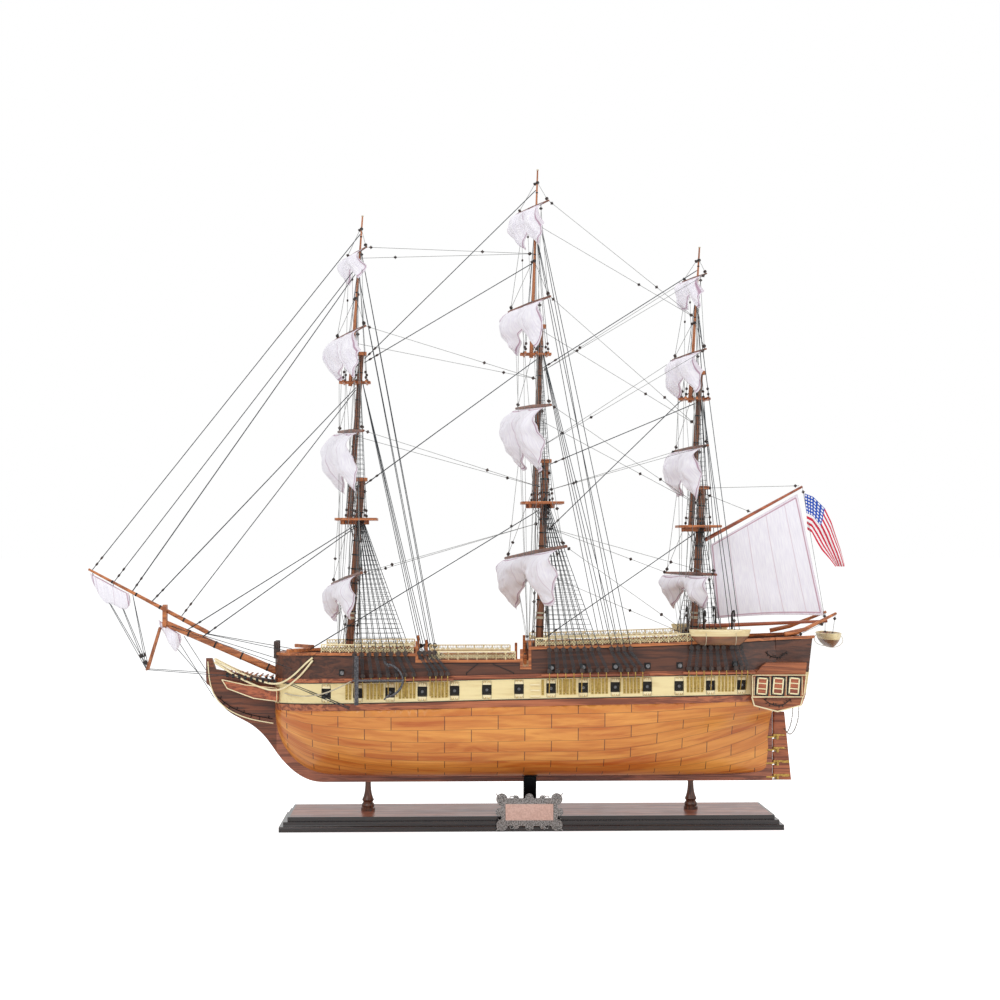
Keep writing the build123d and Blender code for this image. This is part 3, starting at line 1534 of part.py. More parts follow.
running += [
    (mast_collar(mizzen, mizzen.cap + 2, 0), (gaff_peak[0] - 4, 0, gaff_peak[2] + 1)),
    (mast_collar(mizzen, mizzen.cap - 6, 0), (285, 0, 397)),
    ((gaff_peak[0] + 0.3, 0, gaff_peak[2] - 2), (boom_end[0] - 3, 0, boom_end[2] + 2.4)),
    ((boom_end[0] - 4, 1, boom_end[2] - 2.4), (340, 30, rail_height(340) + 0.4)),
    ((boom_end[0] - 4, -1, boom_end[2] - 2.4), (340, -30, rail_height(340) + 0.4)),
]
for side in (-1, 1):
    tip = (stern_davit_tip[0], side * stern_davit_tip[1], stern_davit_tip[2])
    running.append(((tip[0] - 1, tip[1], tip[2] - 2), (tip[0] - 3.5, side * 22, 224.5 + 0.72 * 18 + 0.6)))
for x, side in davit_places:
    running.append(((x, side * quarter_boat_y, 266), (x, side * quarter_boat_y, quarter_boat_keel + 13)))

lines = [rod(start, end, stay_radius) for start, end in stays]
lines += [rod(start, end, bobstay_radius) for start, end in bobstays]
lines += [rod(start, end, light_radius) for start, end in running]
save_group("stays_and_lines", lines)
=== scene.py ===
"""Finish and soft goods of a three-masted display frigate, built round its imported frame.

Metres, origin at the centre of the baseboard's underside, +Z up, bow towards -X, port side towards -Y.
"""

from __future__ import annotations

import logging
import math
from collections.abc import Callable, Iterable
from dataclasses import dataclass
from enum import Enum
from functools import cache

import bmesh
import bpy
import numpy as np
from mathutils import Matrix, Vector, noise
from mathutils.bvhtree import BVHTree


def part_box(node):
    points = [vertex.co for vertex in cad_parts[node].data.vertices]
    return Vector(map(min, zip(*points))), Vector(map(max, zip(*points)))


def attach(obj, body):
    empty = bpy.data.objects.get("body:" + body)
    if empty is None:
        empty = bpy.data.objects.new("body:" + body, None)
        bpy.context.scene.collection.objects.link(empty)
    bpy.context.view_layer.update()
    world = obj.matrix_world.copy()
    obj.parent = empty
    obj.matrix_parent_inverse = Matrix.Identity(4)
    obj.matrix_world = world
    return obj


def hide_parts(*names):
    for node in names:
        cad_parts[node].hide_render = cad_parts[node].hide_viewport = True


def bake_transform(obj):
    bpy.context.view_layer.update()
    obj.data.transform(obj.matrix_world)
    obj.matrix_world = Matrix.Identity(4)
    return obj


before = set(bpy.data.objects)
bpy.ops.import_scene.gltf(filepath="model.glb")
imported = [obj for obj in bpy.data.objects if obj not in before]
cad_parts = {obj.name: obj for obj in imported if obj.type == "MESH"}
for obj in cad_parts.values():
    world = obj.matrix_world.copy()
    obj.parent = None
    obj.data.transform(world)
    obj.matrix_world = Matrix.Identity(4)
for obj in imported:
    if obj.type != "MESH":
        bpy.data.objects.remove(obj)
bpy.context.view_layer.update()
MM = 0.001
LOG = logging.getLogger("frigate")
SHIP = "ship"
RUDDER = "rudder_blade"
WEAVE_PITCH = 0.6 * MM
PORT, STARBOARD = HANDS = (-1, 1)
SIDE_NAMES = {PORT: "port", STARBOARD: "starboard"}
MASTS = ("fore", "main", "mizzen")
X_AXIS, Y_AXIS, Z_AXIS = Vector((1, 0, 0)), Vector((0, 1, 0)), Vector((0, 0, 1))


class Axis(Enum):
    """Direction that a timber's grain runs in."""

    X = 0
    Y = 1
    Z = 2


# ---------------------------------------------------------------- nodes


def tint(red: int, green: int, blue: int) -> tuple[float, float, float, float]:
    """Linear colour of a paint chart value.

    Args:
        red: Red from 0 to 255.
        green: Green from 0 to 255.
        blue: Blue from 0 to 255.

    Returns:
        Linear red, green, blue and a full alpha.
    """
    shares = [c / 255 for c in (red, green, blue)]
    linear = [s / 12.92 if s <= 0.04045 else ((s + 0.055) / 1.055) ** 2.4 for s in shares]
    return (*linear, 1.0)


Socket = bpy.types.NodeSocket
Colour = tuple[float, float, float, float]
Mesh = bmesh.types.BMesh


class Nodes:
    """Adds nodes to one shader tree and joins them in a few words."""

    def __init__(self, tree: bpy.types.NodeTree) -> None:
        """Starts on a tree.

        Args:
            tree: Tree that the nodes go into.
        """
        self.tree = tree

    def add(self, kind: str, inputs: dict | None = None, **settings: object) -> bpy.types.Node:
        """Adds one node.

        Args:
            kind: Node type without its ShaderNode prefix.
            inputs: Input name or place, with the value or the socket that feeds it.
            **settings: Properties of the node.

        Returns:
            The new node.
        """
        node = self.tree.nodes.new("ShaderNode" + kind)
        for key, value in settings.items():
            setattr(node, key, value)
        self.feed(node, inputs or {})
        return node

    def feed(self, node: bpy.types.Node, inputs: dict) -> None:
        """Sets a node's inputs to values, or joins them to sockets."""
        for key, value in inputs.items():
            if isinstance(value, bpy.types.NodeSocket):
                self.tree.links.new(value, node.inputs[key])
            else:
                node.inputs[key].default_value = value

    def math(self, operation: str, *values: object) -> Socket:
        """Result of one sum on numbers or sockets."""
        return self.add("Math", dict(enumerate(values)), operation=operation).outputs[0]

    def place(self, scale: tuple[float, float, float] = (1, 1, 1)) -> Socket:
        """Object coordinates, stretched."""
        where = self.add("TexCoord").outputs["Object"]
        return self.add("Mapping", {"Vector": where, "Scale": scale}).outputs[0]

    def parts(self, vector: Socket) -> list[Socket]:
        """The three parts of a vector."""
        return list(self.add("SeparateXYZ", {0: vector}).outputs)

    def noise(self, vector: Socket, scale: float, detail: float = 3, warp: float = 0) -> Socket:
        """Soft noise from 0 to 1."""
        sizes = {"Vector": vector, "Scale": scale, "Detail": detail, "Distortion": warp}
        return self.add("TexNoise", sizes).outputs["Fac"]

    def mix(self, share: object, low: object, high: object, blend: str = "MIX") -> Socket:
        """Colour between low and high."""
        node = self.add("Mix", {0: share, 6: low, 7: high}, data_type="RGBA", blend_type=blend)
        return node.outputs[2]

    def step(self, value: object, low: float, high: float, start: float = 0, end: float = 1) -> Socket:
        """Smooth step of a value between low and high, from start to end."""
        sizes = {"Value": value, "From Min": low, "From Max": high, "To Min": start, "To Max": end}
        return self.add("MapRange", sizes, interpolation_type="SMOOTHSTEP").outputs[0]

    def own_tone(self, place: Socket, course: Socket) -> Socket:
        """Random tone of one plank, from its place in its course."""
        number = self.add("CombineXYZ", {0: self.math("FLOOR", place), 1: course}).outputs[0]
        return self.add("TexWhiteNoise", {0: number}, noise_dimensions="2D").outputs["Value"]

    def group(self, tree: bpy.types.NodeTree, **inputs: object) -> bpy.types.Node:
        """Places a shared effect with its own values."""
        node = self.tree.nodes.new("ShaderNodeGroup")
        node.node_tree = tree
        self.feed(node, {key.capitalize(): value for key, value in inputs.items()})
        return node

    def bump(self, height: Socket, depth: float, strength: float = 1.0) -> Socket:
        """Normal of a surface roughened by height, depth metres deep."""
        return self.add("Bump", {"Height": height, "Distance": depth, "Strength": strength}).outputs[0]


def shared_effect(
    name: str, inputs: dict[str, object], outputs: dict[str, str]
) -> tuple[Nodes, bpy.types.Node, bpy.types.Node]:
    """Starts a node group with named sockets.

    Args:
        name: Name of the group.
        inputs: Input name with its starting value, or "VECTOR" for a vector.
        outputs: Output name with "FLOAT" or "COLOR".

    Returns:
        The group's nodes, the input node and the output node.
    """
    tree = bpy.data.node_groups.new(name, "ShaderNodeTree")
    kinds = {"VECTOR": "NodeSocketVector", "FLOAT": "NodeSocketFloat", "COLOR": "NodeSocketColor"}
    for key, value in inputs.items():
        kind = value if value == "VECTOR" else "FLOAT"
        socket = tree.interface.new_socket(name=key, in_out="INPUT", socket_type=kinds[kind])
        if kind == "FLOAT":
            socket.default_value = value
    for key, kind in outputs.items():
        tree.interface.new_socket(name=key, in_out="OUTPUT", socket_type=kinds[kind])
    return Nodes(tree), tree.nodes.new("NodeGroupInput"), tree.nodes.new("NodeGroupOutput")


@cache
def grain_effect() -> bpy.types.NodeTree:
    """Wood grain along a stretched vector: a tone and the height of its pores.

    Returns:
        The group, built once.
    """
    nodes, given, result = shared_effect(
        "Wood grain", {"Vector": "VECTOR", "Figure": 0.5}, {"Tone": "FLOAT", "Pores": "FLOAT"}
    )
    broad = nodes.noise(given.outputs["Vector"], 1.0, 5, 0.8)
    streak = nodes.noise(given.outputs["Vector"], 3.3, 6, 0.2)
    fine = nodes.noise(given.outputs["Vector"], 9.0, 2)
    waves = nodes.math("SINE", nodes.math("MULTIPLY", broad, 26.0))
    figure = nodes.math("MULTIPLY", waves, nodes.math("MULTIPLY", given.outputs["Figure"], 0.22))
    tone = nodes.math("ADD", nodes.math("MULTIPLY", broad, 0.55), nodes.math("MULTIPLY", streak, 0.45))
    tone = nodes.step(nodes.math("ADD", tone, figure), 0.3, 0.7)
    nodes.tree.links.new(tone, result.inputs["Tone"])
    nodes.tree.links.new(nodes.step(fine, 0.42, 0.66), result.inputs["Pores"])
    return nodes.tree


@cache
def handling_effect() -> bpy.types.NodeTree:
    """Marks of handling: broad soft patches and dust on what faces up.

    Returns:
        The group, built once.
    """
    nodes, given, result = shared_effect("Handling", {"Amount": 0.5}, {"Mask": "FLOAT", "Dust": "FLOAT"})
    where = nodes.place()
    patches = nodes.step(nodes.noise(where, 38, 4), 0.35, 0.7)
    up = nodes.parts(nodes.add("NewGeometry").outputs["Normal"])[2]
    specks = nodes.step(nodes.noise(where, 900, 2), 0.45, 0.7)
    dust = nodes.math("MULTIPLY", nodes.step(up, 0.3, 1.0), specks)
    for name, value in (("Mask", patches), ("Dust", dust)):
        scaled = nodes.math("MULTIPLY", value, given.outputs["Amount"])
        nodes.tree.links.new(scaled, result.inputs[name])
    return nodes.tree


@cache
def weave_effect() -> bpy.types.NodeTree:
    """Plain weave on a vector in metres: height of the threads and uneven yarn.

    Returns:
        The group, built once.
    """
    nodes, given, result = shared_effect(
        "Plain weave", {"Vector": "VECTOR", "Pitch": 0.0005}, {"Height": "FLOAT", "Yarn": "FLOAT"}
    )
    across, along, _ = nodes.parts(given.outputs["Vector"])
    turns = [
        nodes.math("MULTIPLY", nodes.math("DIVIDE", part, given.outputs["Pitch"]), math.tau)
        for part in (across, along)
    ]
    warp, weft = (nodes.math("SINE", turn) for turn in turns)
    height = nodes.math("ADD", nodes.math("MULTIPLY", nodes.math("MULTIPLY", warp, weft), 0.5), 0.5)
    stretched = nodes.add("Mapping", {"Vector": given.outputs["Vector"], "Scale": (900, 60, 1)}).outputs[0]
    nodes.tree.links.new(height, result.inputs["Height"])
    nodes.tree.links.new(nodes.noise(stretched, 1, 2), result.inputs["Yarn"])
    return nodes.tree


# ---------------------------------------------------------------- finishes


@dataclass(frozen=True)
class Finish:
    """A finish with a name of its own, and the name of one of the record's material slots."""

    name: str
    slot: str

    def material(self) -> bpy.types.Material:
        """The finished material, built once."""
        found = bpy.data.materials.get(self.name)
        if found:
            return found
        made = bpy.data.materials.new(self.name)
        made.use_nodes = True
        self.dress(Nodes(made.node_tree), made.node_tree.nodes["Principled BSDF"])
        return made

    def dress(self, nodes: Nodes, shader: bpy.types.Node) -> None:
        """Joins the finish's nodes to the shader."""
        raise NotImplementedError


@dataclass(frozen=True)
class Timber(Finish):
    """Lacquered wood with grain along one axis."""

    pale: Colour = (0.5, 0.3, 0.1, 1)
    dark: Colour = (0.2, 0.1, 0.05, 1)
    axis: Axis = Axis.X
    run: float = 9.0
    width: float = 150.0
    figure: float = 0.5
    rough: float = 0.42
    lacquer: float = 0.25

    def grain(self, nodes: Nodes, along: Socket | None = None) -> bpy.types.Node:
        """Grain along the finish's axis, or along a vector that is given."""
        scale = [self.width] * 3
        scale[self.axis.value] = self.run
        return nodes.group(grain_effect(), vector=along or nodes.place(tuple(scale)), figure=self.figure)

    def colour(self, nodes: Nodes, grain: bpy.types.Node) -> Socket:
        """Colour between the dark and the pale of the wood."""
        return nodes.mix(grain.outputs["Tone"], self.dark, self.pale)

    def dress(self, nodes: Nodes, shader: bpy.types.Node) -> None:
        """Joins grain, pores and lacquer to the shader."""
        grain = self.grain(nodes)
        marks = nodes.group(handling_effect(), amount=0.5)
        patchy = nodes.math("MULTIPLY", marks.outputs["Mask"], 0.25)
        worn = nodes.mix(patchy, self.colour(nodes, grain), self.dark)
        nodes.feed(shader, {
            "Base Color": worn,
            "Roughness": nodes.math("MULTIPLY_ADD", marks.outputs["Mask"], 0.16, self.rough),
            "Normal": nodes.bump(grain.outputs["Pores"], 0.00012, 0.5),
            "Coat Weight": self.lacquer,
            "Coat Roughness": 0.22,
        })


@dataclass(frozen=True)
class HullPlanks(Timber):
    """Honey planks laid in rows: the map holds metres along the hull and the row number."""

    plank: float = 66 * MM
    seam: Colour = (0.05, 0.02, 0.01, 1)

    def dress(self, nodes: Nodes, shader: bpy.types.Node) -> None:
        """Joins the rows, the butts and each plank's own tone to the shader."""
        along, row, _ = nodes.parts(nodes.add("TexCoord").outputs["UV"])
        course = nodes.math("FLOOR", row)
        shift = nodes.math("MULTIPLY", nodes.math("MODULO", course, 2.0), 0.5)
        place = nodes.math("ADD", nodes.math("DIVIDE", along, self.plank), shift)
        across = nodes.math("FRACT", row)
        edge = nodes.math("MINIMUM", across, nodes.math("SUBTRACT", 1.0, across))
        run = nodes.math("FRACT", place)
        end = nodes.math("MINIMUM", run, nodes.math("SUBTRACT", 1.0, run))
        seams = nodes.step(edge, 0.012, 0.032, 0.45, 0)
        butts = nodes.step(end, 0.004, 0.009, 0.95, 0)
        joint = nodes.math("MAXIMUM", seams, butts)
        own = nodes.own_tone(place, course)
        sheet = nodes.add("CombineXYZ", {0: nodes.math("MULTIPLY", along, 7.0), 1: row, 2: course}).outputs[0]
        grain = self.grain(nodes, sheet)
        drift = {0: nodes.math("MULTIPLY", along, 2.4), 1: nodes.math("MULTIPLY", row, 0.33)}
        sweep = nodes.add("CombineXYZ", drift)
        broad = nodes.step(nodes.noise(sweep.outputs[0], 1.6, 3, 1.2), 0.36, 0.66)
        tone = nodes.math("MULTIPLY_ADD", grain.outputs["Tone"], 0.42, nodes.math("MULTIPLY", own, 0.2))
        tone = nodes.math("MULTIPLY_ADD", broad, 0.42, tone)
        wood = nodes.mix(tone, self.dark, self.pale)
        height = nodes.math("SUBTRACT", nodes.math("MULTIPLY", grain.outputs["Pores"], 0.15), joint)
        nodes.feed(shader, {
            "Base Color": nodes.mix(joint, wood, self.seam),
            "Roughness": self.rough,
            "Normal": nodes.bump(height, 0.0002, 0.6),
            "Coat Weight": self.lacquer,
            "Coat Roughness": 0.15,
        })


@dataclass(frozen=True)
class DeckStrips(Timber):
    """Narrow deck strips with dark caulking between them."""

    strip: float = 5 * MM
    length: float = 90 * MM

    def dress(self, nodes: Nodes, shader: bpy.types.Node) -> None:
        """Joins the strips, their butts and the caulking to the shader."""
        along, across, _ = nodes.parts(nodes.place())
        row = nodes.math("DIVIDE", across, self.strip)
        course = nodes.math("FLOOR", row)
        shift = nodes.math("FRACT", nodes.math("MULTIPLY", course, 0.37))
        place = nodes.math("ADD", nodes.math("DIVIDE", along, self.length), shift)
        edge = nodes.step(nodes.math("PINGPONG", row, 0.5), 0.03, 0.09, 0.8, 0)
        butt = nodes.step(nodes.math("PINGPONG", place, 0.5), 0.003, 0.007, 0.8, 0)
        joint = nodes.math("MAXIMUM", edge, butt)
        own = nodes.own_tone(place, course)
        grain = self.grain(nodes)
        tone = nodes.math("MULTIPLY_ADD", grain.outputs["Tone"], 0.6, nodes.math("MULTIPLY", own, 0.4))
        wood = nodes.mix(tone, self.dark, self.pale)
        nodes.feed(shader, {
            "Base Color": nodes.mix(joint, wood, tint(40, 24, 14)),
            "Roughness": self.rough,
            "Normal": nodes.bump(nodes.math("SUBTRACT", 1.0, joint), 0.0002, 0.7),
        })


@dataclass(frozen=True)
class SplitTimber(Timber):
    """Wood whose part beyond a plane is of another kind: forward of it, or above it."""

    other_pale: Colour = (0.5, 0.3, 0.1, 1)
    other_dark: Colour = (0.2, 0.1, 0.05, 1)
    plane: Axis = Axis.X
    level: float = 0.0
    aft_level: float | None = None

    def colour(self, nodes: Nodes, grain: bpy.types.Node) -> Socket:
        """Colour of the wood on this point's side of the plane."""
        own = nodes.mix(grain.outputs["Tone"], self.dark, self.pale)
        other = nodes.mix(grain.outputs["Tone"], self.other_dark, self.other_pale)
        places = nodes.parts(nodes.place())
        value, level = places[self.plane.value], self.level
        if self.aft_level is not None:
            aft = nodes.step(places[0], 0.36, 0.361, self.level, self.aft_level)
            value, level = nodes.math("SUBTRACT", value, aft), 0.0
        return nodes.mix(nodes.step(value, level - 0.0003, level + 0.0003), other, own)


@dataclass(frozen=True)
class Paint(Finish):
    """Brushed paint with a little grain and age showing through."""

    colour: Colour = (0.5, 0.5, 0.5, 1)
    age: Colour = (0.3, 0.3, 0.3, 1)
    rough: float = 0.5
    gloss: float = 0.0
    amount: float = 0.5

    def dress(self, nodes: Nodes, shader: bpy.types.Node) -> None:
        """Joins brush marks, age and dust to the shader."""
        brush = nodes.noise(nodes.place((30, 260, 260)), 1.0, 4, 0.3)
        marks = nodes.group(handling_effect(), amount=self.amount)
        worn = nodes.math("ADD", marks.outputs["Mask"], 0.2)
        share = nodes.math("MULTIPLY", nodes.step(brush, 0.4, 0.75), worn)
        nodes.feed(shader, {
            "Base Color": nodes.mix(share, self.colour, self.age),
            "Roughness": nodes.math("MULTIPLY_ADD", marks.outputs["Dust"], 0.25, self.rough),
            "Normal": nodes.bump(brush, 0.00008, 0.5),
            "Coat Weight": self.gloss,
            "Coat Roughness": 0.08,
        })


@dataclass(frozen=True)
class Metal(Finish):
    """Cast or drawn metal with tarnish in its low places."""

    colour: Colour = (0.6, 0.6, 0.6, 1)
    tarnish: Colour = (0.1, 0.1, 0.1, 1)
    rough: float = 0.35
    amount: float = 0.6
    grit: float = 500.0

    def dress(self, nodes: Nodes, shader: bpy.types.Node) -> None:
        """Joins tarnish and casting grit to the shader."""
        pits = nodes.noise(nodes.place(), self.grit, 3)
        marks = nodes.group(handling_effect(), amount=self.amount)
        share = nodes.math("MULTIPLY", nodes.step(pits, 0.38, 0.62), self.amount)
        nodes.feed(shader, {
            "Base Color": nodes.mix(share, self.colour, self.tarnish),
            "Roughness": nodes.math("MULTIPLY_ADD", marks.outputs["Mask"], 0.25, self.rough),
            "Normal": nodes.bump(pits, 0.0002, 0.4),
            "Metallic": 1.0,
        })


@dataclass(frozen=True)
class Cloth(Finish):
    """Cotton with stitched hems and seams: the map holds metres, and "hem" the way to the nearest edge."""

    colour: Colour = (0.9, 0.9, 0.9, 1)
    thread: Colour = (0.6, 0.4, 0.5, 1)
    seam_pitch: float = 24 * MM
    hem: float = 3.2 * MM

    def ground(self, nodes: Nodes) -> Socket:
        """Colour of the cloth before its stitching."""
        yarn = nodes.group(weave_effect(), vector=nodes.add("TexCoord").outputs["UV"], pitch=WEAVE_PITCH)
        shade = nodes.mix(0.5, self.colour, tint(222, 216, 232))
        return nodes.mix(nodes.step(yarn.outputs["Yarn"], 0.3, 0.7), shade, self.colour)

    def dress(self, nodes: Nodes, shader: bpy.types.Node) -> None:
        """Joins weave, hems and seams to the shader."""
        where = nodes.add("TexCoord").outputs["UV"]
        across = nodes.parts(where)[0]
        weave = nodes.group(weave_effect(), vector=where, pitch=WEAVE_PITCH)
        edge = nodes.add("Attribute", attribute_name="hem").outputs["Fac"]
        off_hem = nodes.math("ABSOLUTE", nodes.math("SUBTRACT", edge, self.hem))
        hems = nodes.step(off_hem, 0.0003, 0.0012, 0.9, 0)
        lap = nodes.step(edge, self.hem, self.hem + 0.0006, 0.22, 0)
        off_seam = nodes.math("PINGPONG", nodes.math("DIVIDE", across, self.seam_pitch), 0.5)
        seams = nodes.step(off_seam, 0.006, 0.03, 0.42, 0)
        stitch = nodes.math("MAXIMUM", hems, nodes.math("MAXIMUM", lap, seams))
        height = nodes.math("ADD", nodes.math("MULTIPLY", weave.outputs["Height"], 0.4), stitch)
        nodes.feed(shader, {
            "Base Color": nodes.mix(stitch, self.ground(nodes), self.thread),
            "Roughness": 0.9,
            "Normal": nodes.bump(height, 0.0002, 0.35),
            "Sheen Weight": 0.25,
        })


@dataclass(frozen=True)
class Bunting(Cloth):
    """Flag cloth with plain stripes and a corner of dots: the map runs from 0 to 1 both ways."""

    red: Colour = (0.6, 0.02, 0.05, 1)
    blue: Colour = (0.02, 0.1, 0.5, 1)
    stripes: int = 13

    def ground(self, nodes: Nodes) -> Socket:
        """Stripes, with the corner laid over them."""
        across, along, _ = nodes.parts(nodes.add("TexCoord").outputs["UV"])
        stripe = nodes.math("FLOOR", nodes.math("MULTIPLY", along, float(self.stripes)))
        band = nodes.math("MODULO", stripe, 2.0)
        field_colour = nodes.mix(band, self.red, self.colour)
        dots = [
            nodes.math("SUBTRACT", nodes.math("FRACT", nodes.math("MULTIPLY", part, count)), 0.5)
            for part, count in ((across, 15.0), (along, 11.0))
        ]
        away = nodes.math("ADD", *[nodes.math("MULTIPLY", dot, dot) for dot in dots])
        corner = nodes.mix(nodes.step(away, 0.06, 0.1), self.colour, self.blue)
        beside, above = nodes.step(across, 0.398, 0.402, 1, 0), nodes.step(along, 0.536, 0.54, 1, 0)
        inside = nodes.math("MULTIPLY", beside, above)
        return nodes.mix(inside, field_colour, corner)

    def dress(self, nodes: Nodes, shader: bpy.types.Node) -> None:
        """Joins the stripes and the weave to the shader."""
        weave = nodes.group(weave_effect(), vector=nodes.place(), pitch=WEAVE_PITCH)
        nodes.feed(shader, {
            "Base Color": self.ground(nodes),
            "Roughness": 0.75,
            "Normal": nodes.bump(weave.outputs["Height"], 0.0001, 0.3),
            "Sheen Weight": 0.2,
        })


@dataclass(frozen=True)
class Cordage(Finish):
    """Laid rope: slanting strands with painted shade in the grooves between them, and a little fuzz."""

    colour: Colour = (0.5, 0.4, 0.3, 1)
    groove_shade: Colour = (0.2, 0.15, 0.1, 1)
    lay: float = 1.4 * MM

    def dress(self, nodes: Nodes, shader: bpy.types.Node) -> None:
        """Joins strands, the painted shade in their grooves and fuzz to the shader."""
        x, y, z = nodes.parts(nodes.place())
        slant = nodes.math("ADD", nodes.math("ADD", x, z), nodes.math("MULTIPLY", y, 1.7))
        strand = nodes.math("PINGPONG", nodes.math("DIVIDE", slant, self.lay), 0.5)
        fuzz = nodes.noise(nodes.place(), 1500, 2)
        # Towards each groove the colour is mixed with the darker groove colour: painted shade between the
        # strands.
        share = nodes.math("MULTIPLY_ADD", fuzz, 0.3, nodes.step(strand, 0.0, 0.25, 0.7, 0))
        nodes.feed(shader, {
            "Base Color": nodes.mix(share, self.colour, self.groove_shade),
            "Roughness": 0.85,
            "Normal": nodes.bump(strand, 0.0002, 0.5),
        })


HONEY = HullPlanks(
    "Honey planks", "honey_wood", tint(234, 160, 74), tint(184, 90, 24), rough=0.36, lacquer=0.3
)
ROSEWOOD = Timber("Rosewood", "rosewood", tint(186, 108, 68), tint(120, 60, 36), run=7, width=160, figure=0.6)
WALNUT = Timber("Walnut", "walnut", tint(104, 58, 36), tint(58, 30, 20), run=6, width=130, figure=0.3)
GALLERY_WOOD = Timber("Gallery wood", "walnut", tint(178, 104, 62), tint(120, 62, 34), run=7, width=160)
KEEL_WOOD = SplitTimber(
    "Keel wood", "walnut", tint(166, 100, 72), tint(104, 56, 40), run=9, width=180,
    other_pale=tint(124, 66, 38), other_dark=tint(72, 36, 20), level=-322 * MM,
)
RAIL_WOOD = Timber("Rail wood", "rail_wood", tint(204, 124, 70), tint(140, 76, 40), width=230)
RAIL_UPRIGHT = Timber(
    "Rail wood upright", "rail_wood", tint(196, 122, 74), tint(134, 74, 42), Axis.Z, width=300
)
MAST_WOOD = Timber("Mast wood", "mast_wood", tint(150, 92, 58), tint(84, 48, 30), Axis.Z, width=320)
YARD_WOOD = Timber("Yard wood", "mast_wood", tint(150, 88, 58), tint(84, 46, 32), Axis.Y, width=320)
SPAR_WOOD = Timber("Spar wood", "rosewood", tint(190, 104, 66), tint(128, 62, 40), width=260)
DARK_WOOD = Timber(
    "Dark wood", "dark_wood", tint(110, 64, 42), tint(56, 30, 20), Axis.Z, width=200, lacquer=0.4
)
BLOCK_WOOD = Timber("Block wood", "block_wood", tint(72, 52, 44), tint(28, 22, 20), Axis.Z, width=400)
VENEER = Timber(
    "Red veneer", "red_veneer", tint(186, 120, 94), tint(128, 72, 54), run=5, width=70, figure=0.8, rough=0.3,
    lacquer=0.6,
)
PLYWOOD = Timber("Plywood", "plywood", tint(205, 170, 122), tint(160, 122, 80), width=220, lacquer=0.0)
DECK = DeckStrips("Deck strips", "deck_wood", tint(214, 166, 110), tint(170, 116, 68), rough=0.5)
CREAM = Paint("Cream paint", "cream_paint", tint(240, 222, 168), tint(214, 188, 130), 0.42, 0.1)
CREAM_TRIM = Paint("Cream trim", "cream_paint", tint(246, 232, 190), tint(210, 182, 124), 0.4, 0.1)
BOAT_PAINT = SplitTimber(
    "Boat finish", "cream_paint", tint(240, 224, 178), tint(222, 198, 146), width=120, figure=0.2,
    other_pale=tint(140, 80, 48), other_dark=tint(92, 48, 28), plane=Axis.Z, level=242 * MM,
    aft_level=234.5 * MM,
)
LACQUER = Paint("Black lacquer", "black_lacquer", tint(24, 18, 20), tint(42, 26, 26), 0.22, 0.8, 0.3)
MATT_BLACK = Paint("Black paint", "black_paint", tint(22, 20, 20), tint(44, 40, 38), 0.6)
STRAP_BLACK = Metal("Black metal", "black_metal", tint(30, 30, 32), tint(10, 10, 10), 0.3, 0.3)
OCHRE = Metal("Ochre brass", "ochre_brass", tint(206, 178, 104), tint(150, 118, 58), 0.45, 0.5)
BRASS = Metal("Brass", "brass", tint(214, 176, 98), tint(112, 78, 38), 0.3, 0.5)
PEWTER = Metal("Pewter", "pewter", tint(176, 172, 170), tint(40, 36, 34), 0.34, 0.75, 700)
COPPER = Metal("Copper", "copper", tint(226, 192, 180), tint(170, 120, 104), 0.3, 0.3)
STEEL = Metal("Steel", "steel", tint(150, 150, 152), tint(60, 60, 62), 0.3, 0.5)
IRON = Metal("Grey iron", "grey_iron", tint(120, 120, 124), tint(44, 44, 48), 0.5, 0.6)
CHAIN = Metal("Chain metal", "chain", tint(160, 156, 150), tint(70, 66, 62), 0.35, 0.5)
SAILCLOTH = Cloth("Sailcloth", "sailcloth", tint(247, 245, 250), tint(176, 140, 162))
SPANKER_CLOTH = Cloth("Spanker cloth", "sailcloth", tint(246, 244, 249), tint(186, 140, 158), 27 * MM)
FLAG_CLOTH = Bunting(
    "Flag cloth", "flag_cloth", tint(246, 244, 246), red=tint(206, 30, 62), blue=tint(30, 76, 176)
)
TARRED = Cordage("Tarred rope", "tarred_rope", tint(70, 76, 80), tint(26, 28, 30))
LINE = Cordage("Light line", "pale_rope", tint(150, 152, 150), tint(96, 98, 98))
PALE_ROPE = Cordage("Pale rope", "pale_rope", tint(214, 204, 180), tint(150, 136, 108))

NODE_FINISHES = {
    PLYWOOD: ("hull_frame",),
    ROSEWOOD: ("wale", "channels", "rudder"),
    WALNUT: ("bulwark", "transom"),
    GALLERY_WOOD: ("quarter_galleries",),
    KEEL_WOOD: ("keel",),
    RAIL_WOOD: (
        "cap_rail", "bowsprit", "jibboom", "catheads", "davits", "fighting_tops", "crosstrees", "mast_caps",
        "steering_wheel",
    ),
    RAIL_UPRIGHT: ("topgallant_masts", "dolphin_strikers"),
    MAST_WOOD: ("lower_masts", "topmasts"),
    YARD_WOOD: ("fore_yards", "main_yards", "mizzen_yards"),
    SPAR_WOOD: ("spanker_spars",),
    DARK_WOOD: ("pedestals", "capstan", "hatches", "wheel_stand"),
    BLOCK_WOOD: ("deadeyes",),
    VENEER: ("base_panel",),
    DECK: ("spar_deck",),
    CREAM: ("gun_strake",),
    CREAM_TRIM: ("hammock_netting",),
    BOAT_PAINT: ("ship_boats",),
    LACQUER: ("base_moulding",),
    MATT_BLACK: ("port_backing",),
    STRAP_BLACK: ("cradle_strap",),
    OCHRE: ("chainplates",),
    BRASS: ("rudder_pintles", "rudder_gudgeons"),
    PEWTER: ("nameplate_frame",),
    COPPER: ("nameplate",),
    STEEL: ("gun_barrels", "stand_screws"),
    IRON: ("anchors",),
    TARRED: ("shrouds",),
}


